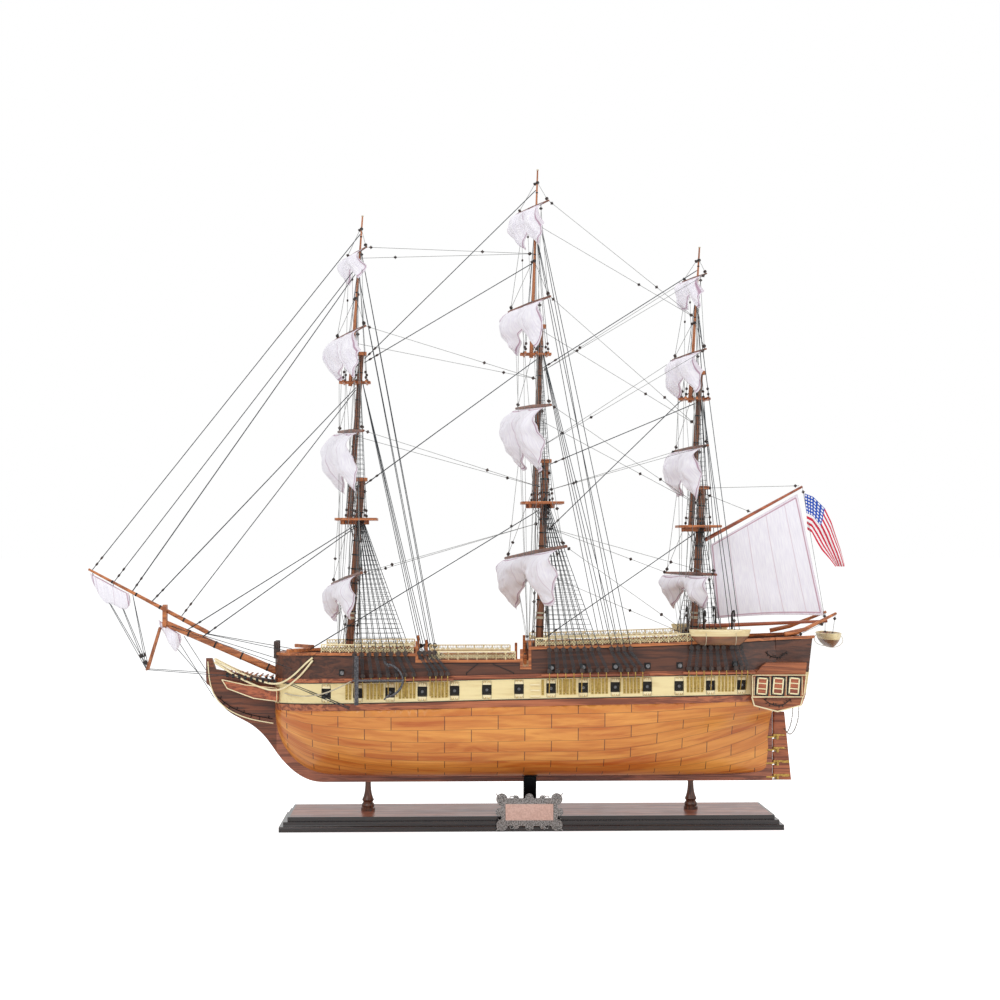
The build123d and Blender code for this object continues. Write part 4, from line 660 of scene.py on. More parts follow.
def dress_nodes() -> None:
    """Gives every carried-over node its finish."""
    for finish, names in NODE_FINISHES.items():
        for name in names:
            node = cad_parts[name]
            node.data.materials.clear()
            node.data.materials.append(finish.material())


# ---------------------------------------------------------------- building blocks


def piece(name: str, shape: Mesh, finish: Finish, body: str | None = SHIP,
          smooth: float = 40) -> bpy.types.Object:
    """Turns a bmesh into a finished piece on a body.

    Args:
        name: Name of the piece.
        shape: Its mesh, freed here.
        finish: Its finish.
        body: CAD body that it rides on.
        smooth: Edges under this many degrees are shaded smooth.

    Returns:
        The piece.
    """
    mesh = bpy.data.meshes.new(name)
    shape.to_mesh(mesh)
    shape.free()
    mesh.materials.append(finish.material())
    mesh.shade_smooth()
    mesh.set_sharp_from_angle(angle=math.radians(smooth))
    made = bpy.data.objects.new(name, mesh)
    bpy.context.scene.collection.objects.link(made)
    if body:
        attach(made, body)
    LOG.info("%s: %d faces", name, len(mesh.polygons))
    return made


@dataclass(frozen=True)
class Run:
    """A round line along points, of one radius."""

    points: tuple
    radius: float
    curved: bool = False


def curve_mesh(curve: bpy.types.Curve) -> Mesh:
    """The mesh that a curve and its bevel make."""
    holder = bpy.data.objects.new(curve.name, curve)
    bpy.context.scene.collection.objects.link(holder)
    graph = bpy.context.evaluated_depsgraph_get()
    mesh = bpy.data.meshes.new_from_object(holder.evaluated_get(graph))
    shape = bmesh.new()
    shape.from_mesh(mesh)
    bpy.data.objects.remove(holder)
    bpy.data.meshes.remove(mesh)
    return shape


def lines(name: str, runs: list[Run], finish: Finish, body: str = SHIP, sides: int = 1) -> bpy.types.Object:
    """Round lines made into one piece.

    Args:
        name: Name of the piece.
        runs: Its lines.
        finish: Its finish.
        body: CAD body that it rides on.
        sides: Roundness; 0 is a square section.

    Returns:
        The piece.
    """
    curve = bpy.data.curves.new(name, "CURVE")
    curve.dimensions = "3D"
    curve.bevel_depth = 1.0
    curve.bevel_resolution = sides
    curve.resolution_u = 6
    curve.use_fill_caps = True
    for run in runs:
        spline = curve.splines.new("NURBS" if run.curved else "POLY")
        spline.points.add(len(run.points) - 1)
        for point, place in zip(spline.points, run.points):
            point.co = (*place, 1)
            point.radius = run.radius
        if run.curved:
            spline.order_u = 3
            spline.use_endpoint_u = True
    return piece(name, curve_mesh(curve), finish, body)


def block(shape: Mesh, place: Matrix, size: tuple, edge: float = 0.0) -> None:
    """Adds a board of a size at a place, with its edges taken off.

    Args:
        shape: Mesh that it goes into.
        place: Where its centre and axes lie.
        size: Length, width and height.
        edge: Width of the bevel.
    """
    made = bmesh.ops.create_cube(shape, size=1, matrix=place @ Matrix.Diagonal((*size, 1)))
    if edge:
        edges = list({e for v in made["verts"] for e in v.link_edges})
        bmesh.ops.bevel(shape, geom=edges, offset=edge, segments=1, profile=0.5, affect="EDGES", material=-1)


def bead(shape: Mesh, centre: Vector, radius: float, stretch: tuple = (1, 1, 1), parts: int = 1) -> None:
    """Adds a small rounded bead."""
    place = Matrix.Translation(centre) @ Matrix.Diagonal((*stretch, 1))
    bmesh.ops.create_icosphere(shape, subdivisions=parts, radius=radius, matrix=place)


def drum(shape: Mesh, start: Vector, end: Vector, radii: tuple[float, float], sides: int = 12) -> None:
    """Adds a closed round bar between two points."""
    way = end - start
    turn = turned(Z_AXIS, way)
    place = Matrix.Translation((start + end) / 2) @ turn
    bmesh.ops.create_cone(
        shape, cap_ends=True, segments=sides, radius1=radii[0], radius2=radii[1], depth=way.length,
        matrix=place,
    )


def turned(axis: Vector, way: Vector) -> Matrix:
    """Turn that brings an axis onto a direction."""
    return axis.rotation_difference(way).to_matrix().to_4x4()


def hits(spots: Iterable[Vector | None]) -> tuple[Vector, ...]:
    """The points that a search found, without its misses."""
    return tuple(spot for spot in spots if spot is not None)


def rectangle(left: float, right: float, low: float, high: float) -> list[tuple[float, float]]:
    """Corners of a closed rectangle, from its lower left."""
    return [(left, low), (right, low), (right, high), (left, high), (left, low)]


def at(x: float, y: float, z: float) -> Matrix:
    """A place with the ship's own axes, given in millimetres."""
    return Matrix.Translation(Vector((x, y, z)) * MM)


def merged(name: str) -> Mesh:
    """A copy of a node's mesh with its corners joined."""
    shape = bmesh.new()
    shape.from_mesh(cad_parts[name].data)
    bmesh.ops.remove_doubles(shape, verts=shape.verts[:], dist=1e-6)
    return shape


def solids(shape: Mesh) -> list[list[bmesh.types.BMVert]]:
    """The corners of each separate solid in a mesh."""
    found, seen = [], set()
    for first in shape.verts:
        if first in seen:
            continue
        group, waiting = [], [first]
        seen.add(first)
        while waiting:
            corner = waiting.pop()
            group.append(corner)
            for edge in corner.link_edges:
                other = edge.other_vert(corner)
                if other not in seen:
                    seen.add(other)
                    waiting.append(other)
        found.append(group)
    return found


@dataclass(frozen=True)
class Rod:
    """A straight solid's ends and greatest radius."""

    start: Vector
    end: Vector
    radius: float

    @property
    def way(self) -> Vector:
        """Direction from the start to the end."""
        return (self.end - self.start).normalized()

    @property
    def length(self) -> float:
        """Distance between the ends."""
        return (self.end - self.start).length

    def at(self, share: float) -> Vector:
        """Point a share of the way along."""
        return self.start.lerp(self.end, share)

    def level(self, height: float) -> Vector:
        """Point at a height."""
        return self.at((height - self.start.z) / (self.end.z - self.start.z))


def measure(group: list[bmesh.types.BMVert]) -> Rod:
    """Ends and radius of a long solid, its lower end first.

    Args:
        group: Its corners.

    Returns:
        The measured rod.
    """
    points = np.array([v.co for v in group])
    centre = points.mean(0)
    way = np.linalg.svd(points - centre, full_matrices=False)[2][0]
    reach = (points - centre) @ way
    off = np.linalg.norm(points - centre - np.outer(reach, way), axis=1)
    ends = [Vector(centre + way * limit) for limit in (reach.min(), reach.max())]
    ends.sort(key=lambda end: end.z)
    return Rod(ends[0], ends[1], float(off.max()))


def rods(name: str) -> list[Rod]:
    """The straight solids of a node, from its lowest."""
    shape = merged(name)
    found = [measure(group) for group in solids(shape)]
    shape.free()
    return sorted(found, key=lambda rod: rod.start.z)


def split_node(name: str, pick: Callable[[Rod], bool]) -> tuple[Mesh, Mesh]:
    """Copies of a node's solids in two lots.

    Args:
        name: The node.
        pick: Test of a measured solid that says whether it is in the first lot.

    Returns:
        The two lots.
    """
    lots = (merged(name), merged(name))
    for keep, shape in zip((True, False), lots):
        drop = [v for group in solids(shape) if pick(measure(group)) != keep for v in group]
        bmesh.ops.delete(shape, geom=drop, context="VERTS")
    return lots


class Skin:
    """Finds points on the outside of the ship."""

    def __init__(self, *names: str) -> None:
        """Gathers the surface.

        Args:
            *names: Nodes whose surface is searched.
        """
        shape = bmesh.new()
        for name in names:
            shape.from_mesh(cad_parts[name].data)
        self.tree = BVHTree.FromBMesh(shape)
        shape.free()

    def side(self, x: float, z: float, hand: int, proud: float = 0.0) -> Vector | None:
        """Point on the side of the ship.

        Args:
            x: Station in metres.
            z: Height in metres.
            hand: Side of the ship.
            proud: How far outside the surface.

        Returns:
            The point, or nothing where there is no surface.
        """
        hit, normal, _, _ = self.tree.ray_cast(Vector((x, hand * 0.3, z)), Vector((0, -hand, 0)), 0.3)
        if hit is None:
            return None
        out = normal if normal.y * hand > 0 else -normal
        return hit + out * proud

    def line(self, points: list[tuple[float, float]], hand: int, proud: float = 0.0) -> tuple[Vector, ...]:
        """The points found along a line of stations and heights."""
        return hits(self.side(x, z, hand, proud) for x, z in points)


@dataclass(frozen=True)
class Sheer:
    """Heights of the gun strake, in metres."""

    strake: float = 27 * MM

    def low(self, x: float) -> float:
        """Lower edge of the gun strake."""
        place = x / MM
        height = 167 - 12.5 * ((280 - place) / 610) ** 1.7 if place < 280 else 167 + 0.02 * (place - 280)
        return height * MM

    def high(self, x: float) -> float:
        """Upper edge of the gun strake."""
        return self.low(x) + self.strake


def stations(start: float, end: float, count: int) -> list[float]:
    """Evenly spaced stations, given in millimetres, in metres."""
    return [(start + (end - start) * i / (count - 1)) * MM for i in range(count)]


SHEER = Sheer()
HULL = Skin("hull_planking", "wale", "gun_strake", "bulwark", "channels")
BAND = Skin("gun_strake")
TOPSIDE = Skin("bulwark", "gun_strake")
DECK_SKIN = Skin("spar_deck")


# ---------------------------------------------------------------- hull


@dataclass
class Planking:
    """Bottom planks, drawn in rows that run together at the ends of the hull."""

    rows: int = 10
    cuts: int = 70
    sunk: float = 0.12 * MM

    def build(self) -> None:
        """Cuts a copy of the skin into short stations and lays its map."""
        shape = merged("hull_planking")
        low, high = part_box("hull_planking")
        for i in range(1, self.cuts):
            x = low.x + (high.x - low.x) * i / self.cuts
            geometry = shape.verts[:] + shape.edges[:] + shape.faces[:]
            bmesh.ops.bisect_plane(shape, geom=geometry, plane_co=(x, 0, 0), plane_no=(1, 0, 0))
        beams = self.beams(shape, low.x, high.x)
        self.deadwood(shape)
        layer = shape.loops.layers.uv.new("UVMap")
        for face in shape.faces:
            for loop in face.loops:
                place = loop.vert.co
                beam, foot = self.sizes(beams, place.x, low.x, high.x)
                top = SHEER.low(place.x)
                gone = (top - place.z) + max(beam - abs(place.y), 0)
                # The offsets keep the station and the row number above zero.
                loop[layer].uv = (place.x + 1, 100 + self.rows * gone / ((top - foot) + beam))
        planks = piece("hull_planks", shape, HONEY)
        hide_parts("hull_planking")

    def deadwood(self, shape: Mesh) -> None:
        """Backs the thinnest part of the skin, just before the stern post, on both sides."""
        for hand in HANDS:
            backing = bmesh.ops.create_grid(shape, x_segments=6, y_segments=8, size=0.5)["verts"]
            for corner in backing:
                share, height = corner.co.x + 0.5, (113 + 17 * (corner.co.y + 0.5)) * MM
                fore, aft = (HULL.side(x * MM, height, hand) for x in (294, 303))
                corner.co = fore.lerp(aft, share) - Vector((0, hand * self.sunk, 0))
            for face in {face for corner in backing for face in corner.link_faces}:
                face.normal_update()
                if face.normal.y * hand < 0:
                    face.normal_flip()

    def beams(self, shape: Mesh, start: float, end: float) -> list[list[float]]:
        """Half breadth at the wale and height of the floor at each cut."""
        found = [[0.0, 1.0] for _ in range(self.cuts + 1)]
        for corner in shape.verts:
            place = found[round((corner.co.x - start) / (end - start) * self.cuts)]
            place[0] = max(place[0], abs(corner.co.y))
            place[1] = min(place[1], corner.co.z)
        return found

    def sizes(self, beams: list[list[float]], x: float, start: float, end: float) -> tuple[float, float]:
        """Half breadth and floor height at a station, between two cuts."""
        place = (x - start) / (end - start) * self.cuts
        first = min(int(place), self.cuts - 1)
        share = place - first
        return tuple(a + (b - a) * share for a, b in zip(beams[first], beams[first + 1]))


@dataclass
class GunStrake:
    """Ports, lids, straps and mouldings of the cream band."""

    first_port: float = -255.6
    port_pitch: float = 39.72
    port_count: int = 14
    port_size: float = 10.5
    strap_spans: tuple = ((-230, -98), (12, 142), (188, 268))
    strap_pitch: float = 4.4
    port_room: float = 8.6
    steps_at: float = 2.5

    def ports(self) -> list[float]:
        """Stations of the ports, in metres."""
        return [(self.first_port + self.port_pitch * i) * MM for i in range(self.port_count)]

    def build(self) -> None:
        """Builds everything on both sides."""
        self.mouldings()
        self.lids()
        self.straps()
        self.steps()

    def mouldings(self) -> None:
        """Black and pale lines along both edges of the band."""
        marks = stations(-317, 272, 96)
        black, pale = [], []
        edges = ((black, 0.6, 0.75), (black, 26.4, 0.6), (pale, 2.3, 0.45), (pale, 25.2, 0.3))
        for hand in HANDS:
            for runs, height, size in edges:
                points = BAND.line([(x, SHEER.low(x) + height * MM) for x in marks], hand, 0.1 * MM)
                runs.append(Run(points, size * MM))
        lines("strake_black_lines", black, MATT_BLACK)
        lines("strake_pale_lines", pale, CREAM_TRIM)

    def lids(self) -> None:
        """Half lids above and below each port, outlined, on brass hinges."""
        boards, outlines, hinges = bmesh.new(), [], []
        half = self.port_size / 2 * MM
        for x in self.ports():
            middle = SHEER.low(x) + 13.5 * MM
            for hand in HANDS:
                for way in (-1, 1):
                    inner, outer = middle + way * (half + 0.7 * MM), middle + way * (half + 5.6 * MM)
                    edge = BAND.line(rectangle(x - half, x + half, inner, outer), hand, 0.35 * MM)
                    centre = BAND.side(x - half * 0.9, (inner + outer) / 2, hand)
                    far = BAND.side(x + half * 0.9, (inner + outer) / 2, hand)
                    if centre is None or far is None or len(edge) < 5:
                        continue
                    turn = turned(X_AXIS, (far - centre).normalized())
                    place = Matrix.Translation((centre + far) / 2) @ turn
                    block(boards, place, (2 * half, 0.8 * MM, 4.6 * MM), 0.2 * MM)
                    outlines.append(Run(edge, 0.22 * MM))
                    for shift in (-0.5, 0.5):
                        arc = [
                            (
                                x + half * shift + 1.5 * MM * math.cos(angle),
                                outer - way * (2.2 - 2.4 * math.sin(angle)) * MM,
                            )
                            for angle in (0, math.pi / 3, 2 * math.pi / 3, math.pi)
                        ]
                        hinges.append(Run(BAND.line(arc, hand, 0.8 * MM), 0.34 * MM))
                rim = rectangle(x - half * 1.06, x + half * 1.06, middle - half * 1.06, middle + half * 1.06)
                outlines.append(Run(BAND.line(rim, hand, 0.2 * MM), 0.5 * MM))
        piece("port_lids", boards, CREAM_TRIM)
        lines("port_outlines", outlines, MATT_BLACK, sides=0)
        lines("port_hinges", hinges, BRASS)

    def straps(self) -> None:
        """Ochre preventer straps under the channels, with their bolts."""
        straps, bolts = bmesh.new(), bmesh.new()
        ports = self.ports()
        for start, end in self.strap_spans:
            count = int((end - start) / self.strap_pitch)
            for i in range(count):
                x = (start + self.strap_pitch * i) * MM
                if min(abs(x - port) for port in ports) < self.port_room * MM:
                    continue
                for hand in HANDS:
                    low = BAND.side(x, SHEER.low(x) + 5.5 * MM, hand, 0.3 * MM)
                    high = BAND.side(x, SHEER.low(x) + 24.6 * MM, hand, 0.3 * MM)
                    turn = turned(Z_AXIS, (high - low).normalized())
                    place = Matrix.Translation((low + high) / 2) @ turn
                    block(straps, place, (3.1 * MM, 0.7 * MM, (high - low).length), 0.2 * MM)
                    for rise in (7.2, 10.0):
                        spot = BAND.side(x, SHEER.low(x) + rise * MM, hand, 0.8 * MM)
                        bead(bolts, spot, 0.55 * MM)
        piece("preventer_straps", straps, OCHRE)
        piece("strap_bolts", bolts, MATT_BLACK)

    def steps(self) -> None:
        """Side steps below the gangway."""
        boards = bmesh.new()
        x = self.steps_at * MM
        for hand in HANDS:
            for rise in (4.5, 11.5, 18.5):
                spot = BAND.side(x, SHEER.low(x) + rise * MM, hand, 0.9 * MM)
                block(boards, Matrix.Translation(spot), (12 * MM, 2.4 * MM, 2.0 * MM), 0.3 * MM)
        piece("side_steps", boards, CREAM_TRIM)


@dataclass
class Topsides:
    """Rail lines, hammock netting and deck gun muzzles."""

    netting: tuple = ((-262, -148), (-128, -22), (4, 204))
    knot_pitch: float = 3.4
    muzzles_at: tuple = (-235.7, 23, 62, 102, 142, 182, 252)

    def rail(self, x: float) -> float:
        """Top of the rail at a station, both in millimetres."""
        if x < -145:
            return 221.0
        return 213.0 if x < -2 else 229 + 12 * ((x + 2) / 357) ** 1.3

    def build(self) -> None:
        """Builds the pieces of the topsides."""
        self.rail_lines()
        self.nets()
        self.muzzles()

    def rail_lines(self) -> None:
        """Thin black line below each stretch of rail and two bent black lines on the bulwark of the waist."""
        black = []
        for hand in HANDS:
            for start, end in ((-300, -147), (-134, -18), (1, 338)):
                marks = stations(start, end, 40)
                points = TOPSIDE.line([(x, (self.rail(x / MM) - 4.2) * MM) for x in marks], hand, 0.2 * MM)
                black.append(Run(points, 0.45 * MM))
            for foot, knee in ((-68, -82), (-50, -24)):
                points = [(foot * MM, 208 * MM), (knee * MM, 197 * MM), (knee * MM, 189 * MM)]
                black.append(Run(TOPSIDE.line(points, hand, 0.8 * MM), 0.5 * MM))
        lines("rail_black_lines", black, MATT_BLACK)

    def nets(self) -> None:
        """Zigzag netting between the rail and its ridge rope."""
        cream, dark = [], []
        for start, end in self.netting:
            count = int((end - start) / self.knot_pitch)
            for hand in HANDS:
                for phase in (0, 1):
                    points, knots = [], []
                    for i in range(count + 1):
                        x = start + (end - start) * i / count
                        side = TOPSIDE.side(x * MM, (self.rail(x) - 8) * MM, hand)
                        lift = 1.2 if (i + phase) % 2 else 9.4
                        points.append(Vector((x * MM, side.y - hand * 0.6 * MM, (self.rail(x) + lift) * MM)))
                        knots.append(points[-1] + Vector((0, hand * 0.5 * MM, (4.6 - lift) * 0.42 * MM)))
                    cream.append(Run(tuple(points), 0.62 * MM))
                    dark.append(Run(tuple(knots), 0.3 * MM))
                cream.append(Run(tuple(self.roll_point(point, hand) for point in points), 2.3 * MM))
        lines("hammock_rolls_and_net", cream, CREAM_TRIM)
        lines("netting_lashings", dark, BLOCK_WOOD)

    def roll_point(self, point: Vector, hand: int) -> Vector:
        """Point of the hammock roll behind a point of the net."""
        swell = 1.1 * math.sin(point.x * 900)
        height = (self.rail(point.x / MM) + 3.8 + swell) * MM
        return Vector((point.x, point.y - hand * 2.2 * MM, height))

    def muzzles(self) -> None:
        """Short deck guns looking out through the bulwark."""
        guns, rims = bmesh.new(), bmesh.new()
        for x in self.muzzles_at:
            for hand in HANDS:
                spot = TOPSIDE.side(x * MM, SHEER.high(x * MM) + 12 * MM, hand)
                out = Vector((0, hand, 0))
                drum(guns, spot - out * 3 * MM, spot + out * 4.5 * MM, (2.3 * MM, 1.9 * MM))
                drum(guns, spot + out * 4.2 * MM, spot + out * 5.6 * MM, (2.5 * MM, 2.5 * MM))
                block(rims, Matrix.Translation(spot), (8 * MM, 1.2 * MM, 8 * MM), 0.3 * MM)
        piece("deck_gun_barrels", guns, STEEL)
        piece("deck_gun_ports", rims, MATT_BLACK)


def swag(points: Iterable[Vector], curl: float, normal: Vector) -> list[Run]:
    """A garland: a stem with leaves curling off it on both sides.

    Args:
        points: Stem, from end to end.
        curl: Length of a leaf.
        normal: Way out of the surface.

    Returns:
        The garland's lines.
    """
    stem = tuple(points)
    runs = [Run(stem, 0.5 * MM, True)]
    for i, (first, second) in enumerate(zip(stem, stem[1:])):
        way = (second - first).normalized()
        across = way.cross(normal).normalized() * (1 if i % 2 else -1)
        for share in (0.2, 0.7):
            root = first.lerp(second, share)
            leaf = (root, root + (way * 0.6 + across * 0.7) * curl, root + (across * 1.1 - way * 0.1) * curl)
            runs.append(Run(leaf, 0.42 * MM, True))
            across = -across
    return runs


@dataclass
class Galleries:
    """Windows and carving of the quarter galleries and the transom."""

    start: float = 273
    end: float = 337
    out: float = 77

    def build(self) -> None:
        """Builds both galleries and the stern."""
        frames, glass, dark, carving, edging = bmesh.new(), bmesh.new(), bmesh.new(), [], []
        for hand in HANDS:
            for i in range(3):
                self.window(frames, glass, dark, self.start + 12 + 20 * i, hand)
            self.edges(edging, hand)
            self.carving(carving, hand)
        self.stern_windows(frames, glass, dark)
        piece("window_frames", frames, CREAM_TRIM)
        piece("window_panes", glass, SPAR_WOOD)
        piece("window_surrounds", dark, MATT_BLACK)
        lines("gallery_edging", edging, CREAM_TRIM)
        lines("carved_garlands", carving, MATT_BLACK)

    def window(self, frames: Mesh, glass: Mesh, dark: Mesh, x: float, hand: int) -> None:
        """One window: black surround, cream frame with bars, and three panes."""
        y = hand * (self.out + 0.4)
        lean = Matrix.Rotation(math.radians(5), 4, "Y")
        middle = at(x, y, 179.5) @ lean
        surround = middle @ Matrix.Translation((0, -hand * 0.5 * MM, 0))
        block(dark, surround, (17.6 * MM, 1.0 * MM, 24.6 * MM), 0.2 * MM)
        for shift, size in (((-5.7, 0), (1.7, 20.8)), ((5.7, 0), (1.7, 20.8)), ((0, -9.6), (13, 1.7)),
                            ((0, 9.6), (13, 1.7)), ((0, -3.3), (10, 1.3)), ((0, 3.3), (10, 1.3))):
            place = middle @ Matrix.Translation((shift[0] * MM, hand * 0.5 * MM, shift[1] * MM))
            block(frames, place, (size[0] * MM, 1.6 * MM, size[1] * MM), 0.25 * MM)
        for rise in (-6.5, 0, 6.5):
            place = middle @ Matrix.Translation((0, hand * 0.25 * MM, rise * MM))
            block(glass, place, (9.4 * MM, 1.0 * MM, 5 * MM), 0.2 * MM)

    def edges(self, edging: list[Run], hand: int) -> None:
        """Cream mouldings round the box and its lower finishing."""
        y = hand * (self.out + 0.6) * MM
        low = hand * (self.out - 4.6) * MM
        box = [(self.start, 166), (self.start, 193), (self.end + 3, 193), (self.end, 166), (self.start, 166)]
        tail = [(self.start, 166), (276, 155), (305, 147.5), (334, 155), (self.end, 166)]
        edging.append(Run(tuple(Vector((x * MM, y, z * MM)) for x, z in box), 0.8 * MM))
        edging.append(Run(tuple(Vector((x * MM, low, z * MM)) for x, z in tail), 0.95 * MM))
        for x in (self.start + 2, self.start + 22, self.start + 42, self.start + 62):
            edging.append(Run((Vector((x * MM, y, 168 * MM)), Vector((x * MM, y, 191 * MM))), 0.45 * MM))

    def carving(self, carving: list[Run], hand: int) -> None:
        """Garland on the lower finishing, and one on the bulwark above the roof."""
        out = Vector((0, hand, 0))
        hollow = ((288, 163), (294, 158), (301, 155), (309, 155), (316, 158), (322, 163))
        low = [Vector((x, hand * (self.out - 4.2), z)) * MM for x, z in hollow]
        carving.extend(swag(low, 2.6 * MM, out))
        crest = ((292, 221), (297, 216), (303, 214), (309, 214), (315, 216), (320, 221))
        high = TOPSIDE.line([(x * MM, z * MM) for x, z in crest], hand, 0.9 * MM)
        carving.extend(swag(high, 2.4 * MM, out))

    def stern_windows(self, frames: Mesh, glass: Mesh, dark: Mesh) -> None:
        """Five windows across the transom."""
        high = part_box("transom")[1]
        tree = Skin("transom").tree
        for i in range(5):
            y = (i - 2) * 21 * MM
            hit, normal, _, _ = tree.ray_cast(Vector((high.x + 0.05, y, 190 * MM)), Vector((-1, 0, 0)), 0.3)
            if hit is None:
                continue
            out = normal if normal.x > 0 else -normal
            turn = turned(X_AXIS, out)
            middle = Matrix.Translation(hit) @ turn
            block(dark, middle, (1.2 * MM, 17 * MM, 24 * MM), 0.2 * MM)
            for shift, size in (((-5.6, 0), (1.6, 20)), ((5.6, 0), (1.6, 20)), ((0, -9.3), (12.8, 1.6)),
                                ((0, 9.3), (12.8, 1.6)), ((0, 0), (11, 1.2)), ((0, 0), (1.2, 18))):
                place = middle @ Matrix.Translation((0.9 * MM, shift[0] * MM, shift[1] * MM))
                block(frames, place, (1.4 * MM, size[0] * MM, size[1] * MM), 0.25 * MM)
            pane = middle @ Matrix.Translation((0.5 * MM, 0, 0))
            block(glass, pane, (1.0 * MM, 11 * MM, 18 * MM), 0.2 * MM)


@dataclass
class Head:
    """Rails, panels, gratings and carving between the bow and the knee."""

    outline: tuple = (
        (-409, 207), (-408, 190), (-404.5, 172), (-396.5, 157), (-384.5, 146.5), (-368, 138), (-348, 132),
        (-326, 128.5),
    )
    border: tuple = (
        (-391, 184), (-360, 177.6), (-320, 174.4), (-320, 158), (-350, 161), (-384, 173), (-391, 184),
    )
    tackle: tuple = ((-311, 183), (-285, 174), (-255, 163), (-226, 152))
    knee_side: float = 4.9

    def build(self) -> None:
        """Builds the pieces of the head."""
        rails, panels = split_node("head_rails", lambda rod: rod.length > 100 * MM)
        pale = piece("head_rails_cream", rails, CREAM_TRIM)
        board = piece("head_panels", panels, SPAR_WOOD)
        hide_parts("head_rails")
        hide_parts("head_rails")
        edging, carving, falls = [], [], []
        skin = Skin("head_rails")
        for hand in HANDS:
            y = hand * self.knee_side * MM
            edging.append(Run(tuple(Vector((x * MM, y, z * MM)) for x, z in self.outline), 0.75 * MM, True))
            stem = [Vector((x * MM, y, (z + 5.5) * MM)) for x, z in self.outline[3:]]
            carving.extend(swag(stem, 3.0 * MM, Vector((0, hand, 0))))
            border = skin.line([(x * MM, z * MM) for x, z in self.border], hand)
            edging.append(Run(tuple(spot + Y_AXIS * hand * 0.3 * MM for spot in border), 0.7 * MM))
            for rise in (0, 2.2):
                fall = HULL.line([(x * MM, (z + rise) * MM) for x, z in self.tackle], hand, 1.0 * MM)
                falls.append(Run(fall, 0.55 * MM, True))
        lines("anchor_tackle", falls, TARRED)
        lines("head_edging", edging, CREAM_TRIM)
        lines("knee_garland", carving, STRAP_BLACK)
        self.gratings()

    def gratings(self) -> None:
        """Timbers between the head rails, a grating above them and the bitts by the bowsprit."""
        timbers, grating = bmesh.new(), bmesh.new()
        for hand in HANDS:
            for i in range(9):
                share = i / 8
                x, y, z = -384 + 62 * share, 8 + 19 * share, 190 - 8 * share
                block(timbers, at(x, hand * y, z), (3.4 * MM, 2 * MM, 5.4 * MM), 0.3 * MM)
        for i in range(11):
            x = -386 + 6.4 * i
            width = 2 * (7 + 1.75 * i)
            block(grating, at(x, 0, 196 - 0.9 * i), (2 * MM, width * MM, 1.6 * MM), 0.2 * MM)
        piece("head_timbers", timbers, MATT_BLACK)
        piece("head_grating", grating, RAIL_WOOD)
        bitts = bmesh.new()
        for hand in HANDS:
            block(bitts, at(-322, hand * 11, 222), (6 * MM, 6 * MM, 22 * MM), 0.6 * MM)
        block(bitts, at(-322, 0, 226), (4 * MM, 30 * MM, 4 * MM), 0.5 * MM)
        piece("bow_bitts", bitts, BLOCK_WOOD)


# ---------------------------------------------------------------- masts and rigging


@dataclass
class MastDress:
    """Iron hoops, rope wooldings and truck balls of the masts."""

    hoop_gap: float = 17.0

    def build(self) -> None:
        """Builds the hoops of every mast."""
        hoops, pale = bmesh.new(), bmesh.new()
        for rod in rods("lower_masts"):
            start, end = 216 * MM, rod.end.z - 8 * MM
            count = int((end - start) / (self.hoop_gap * MM))
            for i in range(count):
                self.hoop(hoops, rod, start + (end - start) * i / count, 5.5 * MM, 1.6 * MM)
            self.hoop(pale, rod, 262 * MM, 5.6 * MM, 3.0 * MM)
            self.hoop(pale, rod, 268 * MM, 5.6 * MM, 2.0 * MM)
        for name, radius in (("topmasts", 4.3 * MM), ("topgallant_masts", 2.6 * MM)):
            for rod in rods(name):
                for share in (0.12, 0.3, 0.55, 0.72, 0.88):
                    taper = 1 - 0.45 * share if name == "topgallant_masts" else 1 - 0.14 * share
                    self.hoop(hoops, rod, rod.at(share).z, radius * taper, 1.2 * MM)
                if name == "topgallant_masts":
                    bead(pale, rod.end + Vector((0, 0, 0.4 * MM)), 1.7 * MM, (1, 1, 0.6), 2)
        for rod in rods("bowsprit") + rods("jibboom"):
            for share in (0.2, 0.4, 0.6, 0.8):
                middle = rod.at(share)
                taper = 1.06 - 0.16 * share if rod.radius > 4 * MM else 1.08 - 0.45 * share
                size = rod.radius * taper
                drum(hoops, middle - rod.way * MM, middle + rod.way * MM, (size, size), 20)
        piece("mast_hoops", hoops, MATT_BLACK)
        piece("mast_rope_bands", pale, PALE_ROPE)

    def hoop(self, shape: Mesh, rod: Rod, height: float, radius: float, width: float) -> None:
        """Adds a hoop round a mast at a height."""
        middle, way = rod.level(height), rod.way * width / 2
        drum(shape, middle - way, middle + way, (radius, radius), 20)


